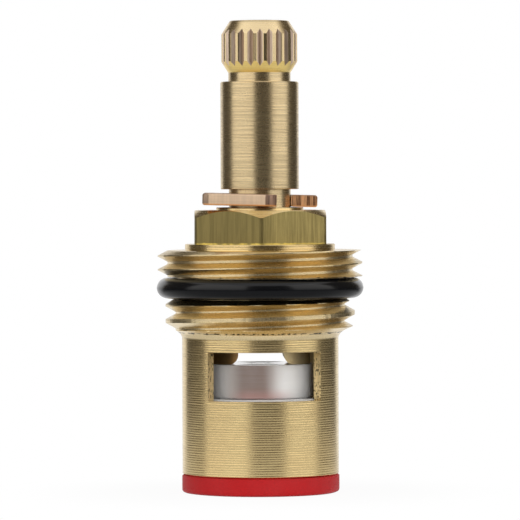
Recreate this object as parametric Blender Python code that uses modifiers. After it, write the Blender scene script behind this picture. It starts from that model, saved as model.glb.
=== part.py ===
"""Quarter-turn ceramic disc tap cartridge, built as an assembly of its separate pieces.

Blender 4.5, metres, +Z up. Run it with: blender --background --python part.py
Z is the spindle's axis, and the origin is the middle of the red seal's lower face.
At rest the cartridge is open: the driver's slot and the ports of both discs face the windows,
which look along Y. It closes by turning the spindle 90 degrees clockwise, seen from above.
The two outside threads are right-handed. The lower one is a G 1/2 pipe thread.
"""

import math

import bmesh
import bpy
from mathutils import Matrix

MM = 0.001

# Flat sides in a full turn: wide pieces and outlines, slim pieces, and the stem's rubber rings
SIDES = 60
SLIM_SIDES = 48
STEM_RING_SIDES = 32

# Flat sides round the section of a rubber ring: the body's, and the stem's
BODY_RING_SECTION_SIDES = 12
STEM_RING_SECTION_SIDES = 8

# Clearances
SEAT_GAP = 0.03 * MM
RUNNING_GAP = 0.06 * MM
SNUG_GAP = 0.04 * MM
STOP_GAP_DEG = 0.5

# Small chamfer on turned edges
EDGE_BREAK = 0.15 * MM

# Quarter turn between the stops
TURN_DEG = 90.0

# Seat seal, the red rubber sleeve that presses on the tap's seat
SEAL_FLANGE_HEIGHT = 1.95 * MM
SEAL_NECK_HEIGHT = 5.10 * MM
SEAL_WALL = 2.60 * MM
SEAL_LIP_DEPTH = 0.90 * MM
SEAL_FOOT_LIP_HEIGHT = 1.20 * MM
SEAL_TOP_LIP_HEIGHT = 0.75 * MM

# Stiff ring inside the seal
BACKING_RING_WALL = 0.65 * MM

# Fixed lower disc, held by two ears in keyways of the body
LOWER_DISC_THICKNESS = 3.50 * MM
EAR_REACH = 0.45 * MM
EAR_WIDTH = 3.20 * MM
KEYWAY_HEADROOM = 0.30 * MM

# Turning upper disc, with a notch at each side for the driver's tongues and water all round it
UPPER_DISC_RADIUS = 5.67 * MM
WATER_SPACE = 1.83 * MM
UPPER_DISC_THICKNESS = 3.70 * MM
NOTCH_DEPTH = 1.05 * MM
NOTCH_WIDTH = 3.20 * MM

# Ports through both discs
PORT_HUB_RADIUS = 1.50 * MM
PORT_RIM = 1.37 * MM
PORT_HALF_ANGLE_DEG = 38.0

# Driver at the foot of the spindle
TONGUE_LENGTH = 1.70 * MM
SLOT_WIDTH = 5.20 * MM
SLOT_HEIGHT = 1.90 * MM
LEG_CORNER_RADIUS = 0.65 * MM
DRIVER_HEIGHT = 2.15 * MM
STOP_FLANGE_HEIGHT = 1.90 * MM
STOP_FLANGE_MARGIN = 0.20 * MM

# Stop ribs inside the body, one at each side
RIB_REACH = 0.90 * MM
RIB_HALF_ANGLE_DEG = 10.0
RIB_SIDE_GAP = 0.20 * MM

# Thrust washer between the stop flange and the chamber's ceiling, keyed to the stop ribs
WASHER_THICKNESS = 0.55 * MM

# Stem and barrel of the spindle, turned to one size so that the spindle goes in from below
STEM_RADIUS = 4.30 * MM
STEM_RING_SECTION = 1.60 * MM
STEM_RING_SPACING = 3.20 * MM
STEM_RING_HEIGHT = 4.40 * MM

# Groove for the clip, just above the body
CLIP_GROOVE_DEPTH = 0.90 * MM
CLIP_GROOVE_DROP = 0.10 * MM
CLIP_GROOVE_HEIGHT = 2.10 * MM

# Barrel, neck and splined head of the spindle
BARREL_LENGTH = 11.80 * MM
NECK_DEPTH = 0.76 * MM
NECK_HEIGHT = 1.00 * MM
SPLINE_SETBACK = 0.12 * MM
SPLINE_LENGTH = 3.00 * MM
SPLINE_LOWER_TAPER = 1.20 * MM
SPLINE_UPPER_TAPER = 1.25 * MM
SPLINE_TEETH = 24
SPLINE_DEPTH = 0.38 * MM
SPLINE_LAND_SHARE = 0.28
TIP_SETBACK = 0.80 * MM
TIP_HEIGHT = 0.25 * MM
SCREW_HOLE_RADIUS = 1.65 * MM
SCREW_HOLE_DEPTH = 11.00 * MM
SCREW_HOLE_CHAMFER = 0.45 * MM
DRILL_TIP_DEPTH = 0.90 * MM

# Retaining clip, a pressed square with one corner open, lying a little askew in its groove
CLIP_WIDTH = 12.66 * MM
CLIP_THICKNESS = 1.30 * MM
CLIP_CORNER_RADIUS = 0.90 * MM
CLIP_ARM_END = 1.65 * MM
CLIP_TILT_DEG = 1.5
CLIP_EDGE = 0.12 * MM

# Body, outside, from the foot up
SKIRT_WALL = 1.10 * MM
LINTEL_HEIGHT = 1.50 * MM
RUN_OUT_HEIGHT = 1.40 * MM
LOWER_THREAD_STEP = 1.85 * MM
LOWER_THREAD_LENGTH = 2.87 * MM
LOWER_THREAD_CHAMFER = 0.95 * MM
LOWER_THREAD_LEAD_IN = 0.55 * MM
LOWER_THREAD_PITCH = 1.814 * MM
LOWER_THREAD_DEPTH = 1.15 * MM
LOWER_THREAD_CREST_WIDTH = 0.34 * MM
LOWER_THREAD_ROOT_WIDTH = 0.18 * MM
LOWER_THREAD_FIRST_CREST = 0.79 * MM
UPPER_THREAD_STEP = 0.82 * MM
UPPER_THREAD_LENGTH = 2.95 * MM
UPPER_THREAD_CHAMFER = 0.50 * MM
UPPER_THREAD_PITCH = 1.50 * MM
UPPER_THREAD_DEPTH = 1.09 * MM
UPPER_THREAD_CREST_WIDTH = 0.13 * MM
UPPER_THREAD_ROOT_WIDTH = 0.16 * MM
UPPER_THREAD_FIRST_CREST = 1.22 * MM
COLLAR_RADIUS = 8.25 * MM
COLLAR_HEIGHT = 0.70 * MM
HEX_ACROSS_FLATS = 14.50 * MM
HEX_HEIGHT = 3.70 * MM
HEX_TOP_SETBACK = 0.15 * MM
HEX_CHAMFER_DEG = 36.0
BOSS_WALL = 0.44 * MM
BOSS_HEIGHT = 0.30 * MM

# Windows, one at the front and one at the back
WINDOW_SILL_DROP = 0.30 * MM
WINDOW_HEIGHT = 5.25 * MM
WINDOW_HALF_ANGLE_DEG = 47.0

# Rubber ring between the threads
BODY_RING_SECTION = 2.26 * MM
BODY_RING_PROUD = 0.10 * MM

# How far a cutter reaches past what it cuts: most of them, a thread's, and a spline's flank as a share
OVERCUT = 1.00 * MM
THREAD_OVERCUT = 0.10 * MM
FLANK_OVERRUN = 1.2

# Radii that follow from the sizes above
CHAMBER_RADIUS = UPPER_DISC_RADIUS + WATER_SPACE
SKIRT_RADIUS = CHAMBER_RADIUS + SKIRT_WALL
SEAL_BORE_RADIUS = CHAMBER_RADIUS - SEAL_WALL
STEM_BORE_RADIUS = STEM_RADIUS + RUNNING_GAP
CLIP_GROOVE_RADIUS = STEM_RADIUS - CLIP_GROOVE_DEPTH
SPLINE_RADIUS = STEM_RADIUS - SPLINE_SETBACK
NECK_RADIUS = SPLINE_RADIUS - NECK_DEPTH
TIP_RADIUS = SPLINE_RADIUS - TIP_SETBACK
STOP_FLANGE_RADIUS = CHAMBER_RADIUS - STOP_FLANGE_MARGIN
RIB_INNER_RADIUS = CHAMBER_RADIUS - RIB_REACH
LOWER_THREAD_RADIUS = SKIRT_RADIUS + LOWER_THREAD_STEP
UPPER_THREAD_RADIUS = LOWER_THREAD_RADIUS + UPPER_THREAD_STEP
BODY_RING_RADIUS = UPPER_THREAD_RADIUS + BODY_RING_PROUD - BODY_RING_SECTION / 2
BODY_GROOVE_RADIUS = BODY_RING_RADIUS - BODY_RING_SECTION / 2 - SNUG_GAP
STEM_RING_RADIUS = STEM_BORE_RADIUS - SNUG_GAP - STEM_RING_SECTION / 2
STEM_GROOVE_RADIUS = STEM_RING_RADIUS - STEM_RING_SECTION / 2 - SNUG_GAP
HEX_CORNER_RADIUS = HEX_ACROSS_FLATS / 2 / math.cos(math.radians(30))
HEX_TOP_RADIUS = HEX_ACROSS_FLATS / 2 - HEX_TOP_SETBACK
BOSS_RADIUS = STEM_BORE_RADIUS + BOSS_WALL

# Heights of what is stacked inside the body, from the seal up
BODY_FOOT_Z = SEAL_FLANGE_HEIGHT + SEAT_GAP
SEAL_TOP_Z = SEAL_FLANGE_HEIGHT + SEAL_NECK_HEIGHT
LOWER_DISC_Z = SEAL_TOP_Z + SEAT_GAP
LOWER_DISC_TOP_Z = LOWER_DISC_Z + LOWER_DISC_THICKNESS
UPPER_DISC_Z = LOWER_DISC_TOP_Z + SEAT_GAP
UPPER_DISC_TOP_Z = UPPER_DISC_Z + UPPER_DISC_THICKNESS
DRIVER_Z = UPPER_DISC_TOP_Z + SEAT_GAP
STOP_FLANGE_Z = DRIVER_Z + DRIVER_HEIGHT
STOP_FLANGE_TOP_Z = STOP_FLANGE_Z + STOP_FLANGE_HEIGHT
WASHER_Z = STOP_FLANGE_TOP_Z + SEAT_GAP
CEILING_Z = WASHER_Z + WASHER_THICKNESS + SEAT_GAP
WINDOW_SILL_Z = LOWER_DISC_TOP_Z - WINDOW_SILL_DROP
WINDOW_HEAD_Z = WINDOW_SILL_Z + WINDOW_HEIGHT

# Heights along the outside of the body, from the windows up
RUN_OUT_Z = WINDOW_HEAD_Z + LINTEL_HEIGHT
LOWER_THREAD_Z = RUN_OUT_Z + RUN_OUT_HEIGHT
GROOVE_Z = LOWER_THREAD_Z + LOWER_THREAD_LENGTH
UPPER_THREAD_Z = GROOVE_Z + BODY_RING_SECTION + 2 * SNUG_GAP
COLLAR_Z = UPPER_THREAD_Z + UPPER_THREAD_LENGTH
HEX_Z = COLLAR_Z + COLLAR_HEIGHT
HEX_TOP_Z = HEX_Z + HEX_HEIGHT
BOSS_TOP_Z = HEX_TOP_Z + BOSS_HEIGHT

# Heights along the spindle above the body
CLIP_GROOVE_Z = BOSS_TOP_Z - CLIP_GROOVE_DROP
BARREL_Z = CLIP_GROOVE_Z + CLIP_GROOVE_HEIGHT
BARREL_TOP_Z = BARREL_Z + BARREL_LENGTH
NECK_TOP_Z = BARREL_TOP_Z + NECK_HEIGHT
SPLINE_Z = NECK_TOP_Z + SPLINE_LOWER_TAPER
SPLINE_TOP_Z = SPLINE_Z + SPLINE_LENGTH
TIP_Z = SPLINE_TOP_Z + SPLINE_UPPER_TAPER
SPINDLE_TOP_Z = TIP_Z + TIP_HEIGHT
SCREW_HOLE_Z = SPINDLE_TOP_Z - SCREW_HOLE_DEPTH
STEM_RING_ZS = (CEILING_Z + STEM_RING_HEIGHT, CEILING_Z + STEM_RING_HEIGHT + STEM_RING_SPACING)

# Azimuths, counted from +X: the windows look along Y, and the notches, ears and ribs lie along X
WINDOW_AZIMUTHS_DEG = (-90.0, 90.0)
RIB_AZIMUTHS_DEG = (0.0, 180.0)
THREAD_START_DEG = -90.0


def clear_scene():
    for old in list(bpy.data.objects):
        bpy.data.objects.remove(old, do_unlink=True)


def new_collection(name):
    collection = bpy.data.collections.new(name)
    bpy.context.scene.collection.children.link(collection)
    return collection


def new_material(name, colour, roughness, metallic):
    material = bpy.data.materials.new(name)
    material.use_nodes = True
    shader = material.node_tree.nodes["Principled BSDF"]
    shader.inputs["Base Color"].default_value = (*colour, 1.0)
    shader.inputs["Roughness"].default_value = roughness
    shader.inputs["Metallic"].default_value = metallic
    return material


def polar(radius, azimuth_deg):
    azimuth = math.radians(azimuth_deg)
    return (radius * math.cos(azimuth), radius * math.sin(azimuth))


def arc(radius, start_deg, end_deg):
    """Points of an arc about the axis, both ends included, with a full turn's share of sides."""
    count = max(2, round(abs(end_deg - start_deg) * SIDES / 360))
    return [polar(radius, start_deg + (end_deg - start_deg) * i / count) for i in range(count + 1)]


def circle(radius):
    return arc(radius, 0, 360)[:-1]


def sector(inner_radius, outer_radius, start_deg, end_deg):
    return arc(outer_radius, start_deg, end_deg) + arc(inner_radius, end_deg, start_deg)


def keyed_circle(radius, key_radius, key_width):
    """A circle with a key along +X and -X: an ear where key_radius is over radius, else a notch."""
    half = key_width / 2
    edge_deg = math.degrees(math.asin(half / radius))
    upper = arc(radius, edge_deg, 180 - edge_deg)
    lower = arc(radius, 180 + edge_deg, 360 - edge_deg)
    left = [(-key_radius, half), (-key_radius, -half)]
    right = [(key_radius, -half), (key_radius, half)]
    return upper + left + lower + right


def ports():
    outer_radius = UPPER_DISC_RADIUS - PORT_RIM
    return [
        sector(PORT_HUB_RADIUS, outer_radius, azimuth - PORT_HALF_ANGLE_DEG, azimuth + PORT_HALF_ANGLE_DEG)
        for azimuth in WINDOW_AZIMUTHS_DEG
    ]


def past(start, end):
    """The point a little past the end of a spline's flank."""
    return tuple(a + (b - a) * FLANK_OVERRUN for a, b in zip(start, end))


def spline_outline():
    """The splines' cross-section. Each flank runs on past the head's radius, so the lands stay round."""
    pitch_deg = 360 / SPLINE_TEETH
    flank_deg = pitch_deg * (1 - SPLINE_LAND_SHARE) / 2
    outline = []
    for tooth in range(SPLINE_TEETH):
        valley_deg = -90 + tooth * pitch_deg
        floor = polar(SPLINE_RADIUS - SPLINE_DEPTH, valley_deg)
        before = polar(SPLINE_RADIUS, valley_deg - flank_deg)
        after = polar(SPLINE_RADIUS, valley_deg + flank_deg)
        outline += [past(floor, before), floor, past(floor, after)]
    return outline


def hexagon():
    """Six corners, two of them on Y, so that two flats face +X and -X."""
    return [polar(HEX_CORNER_RADIUS, 30 + 60 * corner) for corner in range(6)]


def slot_outline():
    """The driver's slot seen along Y, as (x, height over the driver's foot), open at its foot."""
    half = SLOT_WIDTH / 2
    corner = LEG_CORNER_RADIUS
    turns = [math.radians(90 * i / 5) for i in range(6)]
    rounded = [(half + corner - corner * math.sin(a), corner - corner * math.cos(a)) for a in turns]
    right = [(half + corner, -OVERCUT)] + rounded + [(half, SLOT_HEIGHT)]
    return right + [(-x, z) for x, z in reversed(right)]


def tongue_outline():
    """The driver's tongue at +X, which fills the upper disc's notch with a running gap."""
    half = NOTCH_WIDTH / 2 - RUNNING_GAP
    outer = UPPER_DISC_RADIUS - EDGE_BREAK
    edge_deg = math.degrees(math.asin(half / outer))
    floor = UPPER_DISC_RADIUS - NOTCH_DEPTH + RUNNING_GAP
    return [(floor, half), (floor, -half)] + arc(outer, -edge_deg, edge_deg)


def clip_outline():
    """A square with rounded corners, less the corner at +X and -Y, whose arms end at CLIP_ARM_END."""
    half = CLIP_WIDTH / 2
    centre = half - CLIP_CORNER_RADIUS
    corners = []
    for quarter, (x_side, y_side) in enumerate(((1, 1), (-1, 1), (-1, -1))):
        for i in range(5):
            x, y = polar(CLIP_CORNER_RADIUS, 90 * quarter + 90 * i / 4)
            corners.append((x_side * centre + x, y_side * centre + y))
    hole = CLIP_GROOVE_RADIUS + RUNNING_GAP
    mouth_deg = math.degrees(math.asin(CLIP_ARM_END / hole))
    front_arm = [(CLIP_ARM_END - CLIP_CORNER_RADIUS / 2, -half), (CLIP_ARM_END, -half + CLIP_CORNER_RADIUS)]
    side_arm = [(half, -CLIP_ARM_END)]
    return corners + front_arm + arc(hole, -90 + mouth_deg, -360 - mouth_deg) + side_arm


def turned(name, profile, collection, sides=SIDES, closed=True):
    """A profile of (radius, height) turned about Z. It runs down the outer side and up the inner one."""
    mesh = bpy.data.meshes.new(name)
    count = len(profile)
    edges = [(i, (i + 1) % count) for i in range(count if closed else count - 1)]
    mesh.from_pydata([(radius, 0, height) for radius, height in profile], edges, [])
    piece = bpy.data.objects.new(name, mesh)
    collection.objects.link(piece)
    screw = piece.modifiers.new("Turned", "SCREW")
    screw.axis = "Z"
    screw.steps = sides
    screw.render_steps = sides
    screw.use_merge_vertices = True
    screw.merge_threshold = 1e-7
    return piece


def wound(name, section, pitch, turns, low, collection):
    """A section of (radius, height) wound right-handed round Z, closed at both ends. Its heights are
    counted from a line that starts at low and climbs one pitch a turn."""
    work = bmesh.new()
    rings = []
    for step in range(turns * SIDES + 1):
        climb = low + pitch * step / SIDES
        azimuth = THREAD_START_DEG + 360 * step / SIDES
        corners = [(*polar(radius, azimuth), climb + height) for radius, height in section]
        rings.append([work.verts.new(corner) for corner in corners])
    for before, after in zip(rings, rings[1:]):
        for i in range(len(section)):
            work.faces.new((before[i - 1], before[i], after[i], after[i - 1]))
    work.faces.new(rings[0])
    work.faces.new(rings[-1])
    bmesh.ops.recalc_face_normals(work, faces=work.faces)
    mesh = bpy.data.meshes.new(name)
    work.to_mesh(mesh)
    work.free()
    piece = bpy.data.objects.new(name, mesh)
    collection.objects.link(piece)
    return piece


def extruded(name, outlines, low, high, collection):
    """Flat outlines, the first with any others as holes in it, drawn on XY and raised from low to high."""
    curve = bpy.data.curves.new(name, "CURVE")
    curve.dimensions = "2D"
    curve.fill_mode = "BOTH"
    curve.extrude = (high - low) / 2
    for outline in outlines:
        spline = curve.splines.new("POLY")
        spline.points.add(len(outline) - 1)
        spline.use_cyclic_u = True
        for point, (x, y) in zip(spline.points, outline):
            point.co = (x, y, 0, 1)
    drawn = bpy.data.objects.new(name, curve)
    collection.objects.link(drawn)
    graph = bpy.context.evaluated_depsgraph_get()
    mesh = bpy.data.meshes.new_from_object(drawn.evaluated_get(graph))
    bpy.data.objects.remove(drawn)
    work = bmesh.new()
    work.from_mesh(mesh)
    bmesh.ops.remove_doubles(work, verts=work.verts, dist=1e-7)
    bmesh.ops.recalc_face_normals(work, faces=work.faces)
    work.to_mesh(mesh)
    work.free()
    piece = bpy.data.objects.new(name, mesh)
    piece.location.z = (low + high) / 2
    collection.objects.link(piece)
    return piece


def rubber_ring(name, ring_radius, section, height, sides, section_sides, collection):
    bpy.ops.mesh.primitive_torus_add(
        major_radius=ring_radius,
        minor_radius=section / 2,
        major_segments=sides,
        minor_segments=section_sides,
        location=(0, 0, height),
    )
    ring = bpy.context.object
    ring.name = name
    ring.data.name = name
    for holder in ring.users_collection:
        holder.objects.unlink(ring)
    collection.objects.link(ring)
    return ring


def combine(piece, tool, operation):
    boolean = piece.modifiers.new(tool.name, "BOOLEAN")
    boolean.operation = operation
    boolean.object = tool
    tool.hide_render = True
    tool.display_type = "WIRE"


def settle(piece, material):
    """Applies a piece's modifiers, smooths it between its sharp edges and gives it its material."""
    bpy.context.view_layer.update()
    graph = bpy.context.evaluated_depsgraph_get()
    mesh = bpy.data.meshes.new_from_object(piece.evaluated_get(graph))
    mesh.name = piece.name
    piece.modifiers.clear()
    piece.data = mesh
    mesh.shade_smooth()
    mesh.set_sharp_from_angle(angle=math.radians(30))
    mesh.materials.clear()
    mesh.materials.append(material)
    return piece


def body_profile():
    hex_drop = (HEX_CORNER_RADIUS - HEX_TOP_RADIUS) * math.tan(math.radians(HEX_CHAMFER_DEG))
    return [
        (BOSS_RADIUS, BOSS_TOP_Z),
        (BOSS_RADIUS, HEX_TOP_Z),
        (HEX_TOP_RADIUS, HEX_TOP_Z),
        (HEX_CORNER_RADIUS, HEX_TOP_Z - hex_drop),
        (HEX_CORNER_RADIUS, HEX_Z),
        (COLLAR_RADIUS, HEX_Z),
        (COLLAR_RADIUS, COLLAR_Z),
        (UPPER_THREAD_RADIUS - UPPER_THREAD_CHAMFER, COLLAR_Z),
        (UPPER_THREAD_RADIUS, COLLAR_Z - UPPER_THREAD_CHAMFER),
        (UPPER_THREAD_RADIUS, UPPER_THREAD_Z),
        (BODY_GROOVE_RADIUS, UPPER_THREAD_Z),
        (BODY_GROOVE_RADIUS, GROOVE_Z),
        (LOWER_THREAD_RADIUS - LOWER_THREAD_CHAMFER, GROOVE_Z),
        (LOWER_THREAD_RADIUS, GROOVE_Z - LOWER_THREAD_LEAD_IN),
        (LOWER_THREAD_RADIUS, LOWER_THREAD_Z),
        (SKIRT_RADIUS, RUN_OUT_Z),
        (SKIRT_RADIUS, BODY_FOOT_Z + EDGE_BREAK),
        (SKIRT_RADIUS - EDGE_BREAK, BODY_FOOT_Z),
        (CHAMBER_RADIUS, BODY_FOOT_Z),
        (CHAMBER_RADIUS, CEILING_Z),
        (STEM_BORE_RADIUS, CEILING_Z),
        (STEM_BORE_RADIUS, BOSS_TOP_Z),
    ]


def thread_groove(name, crest_radius, depth, pitch, crest_width, root_width, first_crest, top, cutters):
    """The groove of an outside thread. It starts below the thread and ends above it, clear of the body,
    and at the front one of its crests stands at first_crest."""
    flank = (pitch - crest_width - root_width) / 2
    mouth = flank + root_width / 2 + flank * THREAD_OVERCUT / depth
    reach = crest_radius + THREAD_OVERCUT
    root = crest_radius - depth
    section = [(root, -root_width / 2), (reach, -mouth), (reach, mouth), (root, root_width / 2)]
    low = first_crest - 1.5 * pitch
    turns = math.ceil((top - low) / pitch)
    return wound(name, section, pitch, turns, low, cutters)


def valve_body(parts, cutters, brass):
    body = turned("valve_body", body_profile(), parts)
    lower_groove = thread_groove(
        "cut_lower_thread",
        LOWER_THREAD_RADIUS,
        LOWER_THREAD_DEPTH,
        LOWER_THREAD_PITCH,
        LOWER_THREAD_CREST_WIDTH,
        LOWER_THREAD_ROOT_WIDTH,
        LOWER_THREAD_Z + LOWER_THREAD_FIRST_CREST,
        GROOVE_Z,
        cutters,
    )
    combine(body, lower_groove, "DIFFERENCE")
    upper_groove = thread_groove(
        "cut_upper_thread",
        UPPER_THREAD_RADIUS,
        UPPER_THREAD_DEPTH,
        UPPER_THREAD_PITCH,
        UPPER_THREAD_CREST_WIDTH,
        UPPER_THREAD_ROOT_WIDTH,
        UPPER_THREAD_Z + UPPER_THREAD_FIRST_CREST,
        COLLAR_Z,
        cutters,
    )
    combine(body, upper_groove, "DIFFERENCE")
    rim = circle(HEX_CORNER_RADIUS + OVERCUT)
    flats = extruded("cut_hex_flats", [rim, hexagon()], HEX_Z, HEX_TOP_Z + OVERCUT, cutters)
    combine(body, flats, "DIFFERENCE")
    for side, azimuth in zip(("front", "back"), WINDOW_AZIMUTHS_DEG):
        opening = sector(
            CHAMBER_RADIUS - OVERCUT,
            LOWER_THREAD_RADIUS + OVERCUT,
            azimuth - WINDOW_HALF_ANGLE_DEG,
            azimuth + WINDOW_HALF_ANGLE_DEG,
        )
        window = extruded(f"cut_{side}_window", [opening], WINDOW_SILL_Z, WINDOW_HEAD_Z, cutters)
        combine(body, window, "DIFFERENCE")
    key_radius = CHAMBER_RADIUS + EAR_REACH + SNUG_GAP
    keyway = keyed_circle(CHAMBER_RADIUS - SNUG_GAP, key_radius, EAR_WIDTH + 2 * SNUG_GAP)
    keyway_top = LOWER_DISC_TOP_Z + KEYWAY_HEADROOM
    keyways = extruded("cut_keyways", [keyway], BODY_FOOT_Z - OVERCUT, keyway_top, cutters)
    combine(body, keyways, "DIFFERENCE")
    for side, azimuth in zip(("right", "left"), RIB_AZIMUTHS_DEG):
        outline = sector(
            RIB_INNER_RADIUS,
            CHAMBER_RADIUS + SKIRT_WALL / 2,
            azimuth - RIB_HALF_ANGLE_DEG,
            azimuth + RIB_HALF_ANGLE_DEG,
        )
        rib_top = CEILING_Z + SKIRT_WALL / 2
        rib = extruded(f"add_{side}_stop_rib", [outline], STOP_FLANGE_Z, rib_top, cutters)
        combine(body, rib, "UNION")
    return settle(body, brass)


def stem_groove(height):
    """Both corners of a rubber ring's groove, running down the stem."""
    half = STEM_RING_SECTION / 2 + SNUG_GAP
    return [
        (STEM_RADIUS, height + half),
        (STEM_GROOVE_RADIUS, height + half),
        (STEM_GROOVE_RADIUS, height - half),
        (STEM_RADIUS, height - half),
    ]


def spindle_profile():
    head = [
        (0, SCREW_HOLE_Z - DRILL_TIP_DEPTH),
        (SCREW_HOLE_RADIUS, SCREW_HOLE_Z),
        (SCREW_HOLE_RADIUS, SPINDLE_TOP_Z - SCREW_HOLE_CHAMFER),
        (SCREW_HOLE_RADIUS + SCREW_HOLE_CHAMFER, SPINDLE_TOP_Z),
        (TIP_RADIUS - EDGE_BREAK, SPINDLE_TOP_Z),
        (TIP_RADIUS, SPINDLE_TOP_Z - EDGE_BREAK),
        (TIP_RADIUS, TIP_Z),
        (SPLINE_RADIUS, SPLINE_TOP_Z),
        (SPLINE_RADIUS, SPLINE_Z),
        (NECK_RADIUS, NECK_TOP_Z),
        (NECK_RADIUS, BARREL_TOP_Z),
        (STEM_RADIUS - EDGE_BREAK, BARREL_TOP_Z),
        (STEM_RADIUS, BARREL_TOP_Z - EDGE_BREAK),
        (STEM_RADIUS, BARREL_Z + EDGE_BREAK),
        (STEM_RADIUS - EDGE_BREAK, BARREL_Z),
        (CLIP_GROOVE_RADIUS, BARREL_Z),
        (CLIP_GROOVE_RADIUS, CLIP_GROOVE_Z),
        (STEM_RADIUS, CLIP_GROOVE_Z),
    ]
    grooves = [corner for height in reversed(STEM_RING_ZS) for corner in stem_groove(height)]
    foot = [
        (STEM_RADIUS, STOP_FLANGE_TOP_Z),
        (STOP_FLANGE_RADIUS, STOP_FLANGE_TOP_Z),
        (STOP_FLANGE_RADIUS, STOP_FLANGE_Z),
        (UPPER_DISC_RADIUS, STOP_FLANGE_Z),
        (UPPER_DISC_RADIUS, DRIVER_Z),
        (0, DRIVER_Z),
    ]
    return head + grooves + foot


def spindle(parts, cutters, brass):
    piece = turned("spindle", spindle_profile(), parts, sides=SLIM_SIDES, closed=False)
    rim = circle(SPLINE_RADIUS + 2 * SPLINE_DEPTH + OVERCUT)
    splines = extruded("cut_splines", [rim, spline_outline()], NECK_TOP_Z, SPINDLE_TOP_Z, cutters)
    combine(piece, splines, "DIFFERENCE")
    reach = UPPER_DISC_RADIUS + OVERCUT
    slot = extruded("cut_driver_slot", [slot_outline()], -reach, reach, cutters)
    slot.matrix_world = Matrix.Translation((0, 0, DRIVER_Z)) @ Matrix.Rotation(math.pi / 2, 4, "X")
    combine(piece, slot, "DIFFERENCE")
    for side, turn in zip(("right", "left"), (1, -1)):
        outline = [(turn * x, turn * y) for x, y in tongue_outline()]
        tongue_top = DRIVER_Z + SLOT_HEIGHT / 2
        tongue = extruded(f"add_{side}_tongue", [outline], DRIVER_Z - TONGUE_LENGTH, tongue_top, cutters)
        combine(piece, tongue, "UNION")
    edge_deg = RIB_HALF_ANGLE_DEG + STOP_GAP_DEG
    for side, azimuth in zip(("right", "left"), RIB_AZIMUTHS_DEG):
        outline = sector(
            RIB_INNER_RADIUS - RIB_SIDE_GAP,
            STOP_FLANGE_RADIUS + OVERCUT,
            azimuth - edge_deg,
            azimuth + TURN_DEG + edge_deg,
        )
        low = STOP_FLANGE_Z - SEAT_GAP
        high = STOP_FLANGE_TOP_Z + OVERCUT
        relief = extruded(f"cut_{side}_stop_relief", [outline], low, high, cutters)
        combine(piece, relief, "DIFFERENCE")
    return settle(piece, brass)


def retaining_clip(parts, copper):
    clip = extruded("retaining_clip", [clip_outline()], -CLIP_THICKNESS / 2, CLIP_THICKNESS / 2, parts)
    edges = clip.modifiers.new("Pressed edges", "BEVEL")
    edges.width = CLIP_EDGE
    edges.segments = 1
    edges.limit_method = "ANGLE"
    edges.angle_limit = math.radians(60)
    settle(clip, copper)
    tilt = math.radians(CLIP_TILT_DEG)
    clip.rotation_euler.y = tilt
    lift = CLIP_THICKNESS / 2 / math.cos(tilt) + BOSS_RADIUS * math.tan(tilt)
    clip.location.z = BOSS_TOP_Z + SEAT_GAP + lift
    return clip


def thrust_washer(parts, plastic):
    """A flat washer round the stem, notched for the stop ribs."""
    notch_width = 2 * (CHAMBER_RADIUS * math.sin(math.radians(RIB_HALF_ANGLE_DEG)) + RUNNING_GAP)
    outline = keyed_circle(STOP_FLANGE_RADIUS, RIB_INNER_RADIUS - RIB_SIDE_GAP, notch_width)
    hole = circle(STEM_BORE_RADIUS + RUNNING_GAP)
    washer = extruded("thrust_washer", [outline, hole], WASHER_Z, WASHER_Z + WASHER_THICKNESS, parts)
    return settle(washer, plastic)


def upper_ceramic_disc(parts, ceramic):
    outline = keyed_circle(UPPER_DISC_RADIUS, UPPER_DISC_RADIUS - NOTCH_DEPTH, NOTCH_WIDTH)
    disc = extruded("upper_ceramic_disc", [outline] + ports(), UPPER_DISC_Z, UPPER_DISC_TOP_Z, parts)
    return settle(disc, ceramic)


def lower_ceramic_disc(parts, ceramic):
    outline = keyed_circle(CHAMBER_RADIUS - SNUG_GAP, CHAMBER_RADIUS + EAR_REACH, EAR_WIDTH)
    disc = extruded("lower_ceramic_disc", [outline] + ports(), LOWER_DISC_Z, LOWER_DISC_TOP_Z, parts)
    return settle(disc, ceramic)


def seal_recess():
    """Radius, lower height and upper height of the recess inside the seal that holds its stiff ring."""
    return SEAL_BORE_RADIUS + SEAL_LIP_DEPTH, SEAL_FOOT_LIP_HEIGHT, SEAL_TOP_Z - SEAL_TOP_LIP_HEIGHT


def seat_seal(parts, rubber):
    recess_radius, recess_low, recess_high = seal_recess()
    neck_radius = CHAMBER_RADIUS - SNUG_GAP
    profile = [
        (neck_radius, SEAL_TOP_Z),
        (neck_radius, SEAL_FLANGE_HEIGHT),
        (SKIRT_RADIUS, SEAL_FLANGE_HEIGHT),
        (SKIRT_RADIUS, EDGE_BREAK),
        (SKIRT_RADIUS - EDGE_BREAK, 0),
        (SEAL_BORE_RADIUS + EDGE_BREAK, 0),
        (SEAL_BORE_RADIUS, EDGE_BREAK),
        (SEAL_BORE_RADIUS, recess_low),
        (recess_radius, recess_low),
        (recess_radius, recess_high),
        (SEAL_BORE_RADIUS, recess_high),
        (SEAL_BORE_RADIUS, SEAL_TOP_Z),
    ]
    return settle(turned("seat_seal", profile, parts), rubber)


def seal_backing_ring(parts, steel):
    recess_radius, recess_low, recess_high = seal_recess()
    outer = recess_radius - SNUG_GAP
    inner = outer - BACKING_RING_WALL
    low = recess_low + SNUG_GAP
    high = recess_high - SNUG_GAP
    profile = [(outer, high), (outer, low), (inner, low), (inner, high)]
    return settle(turned("seal_backing_ring", profile, parts, sides=SLIM_SIDES), steel)


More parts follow.
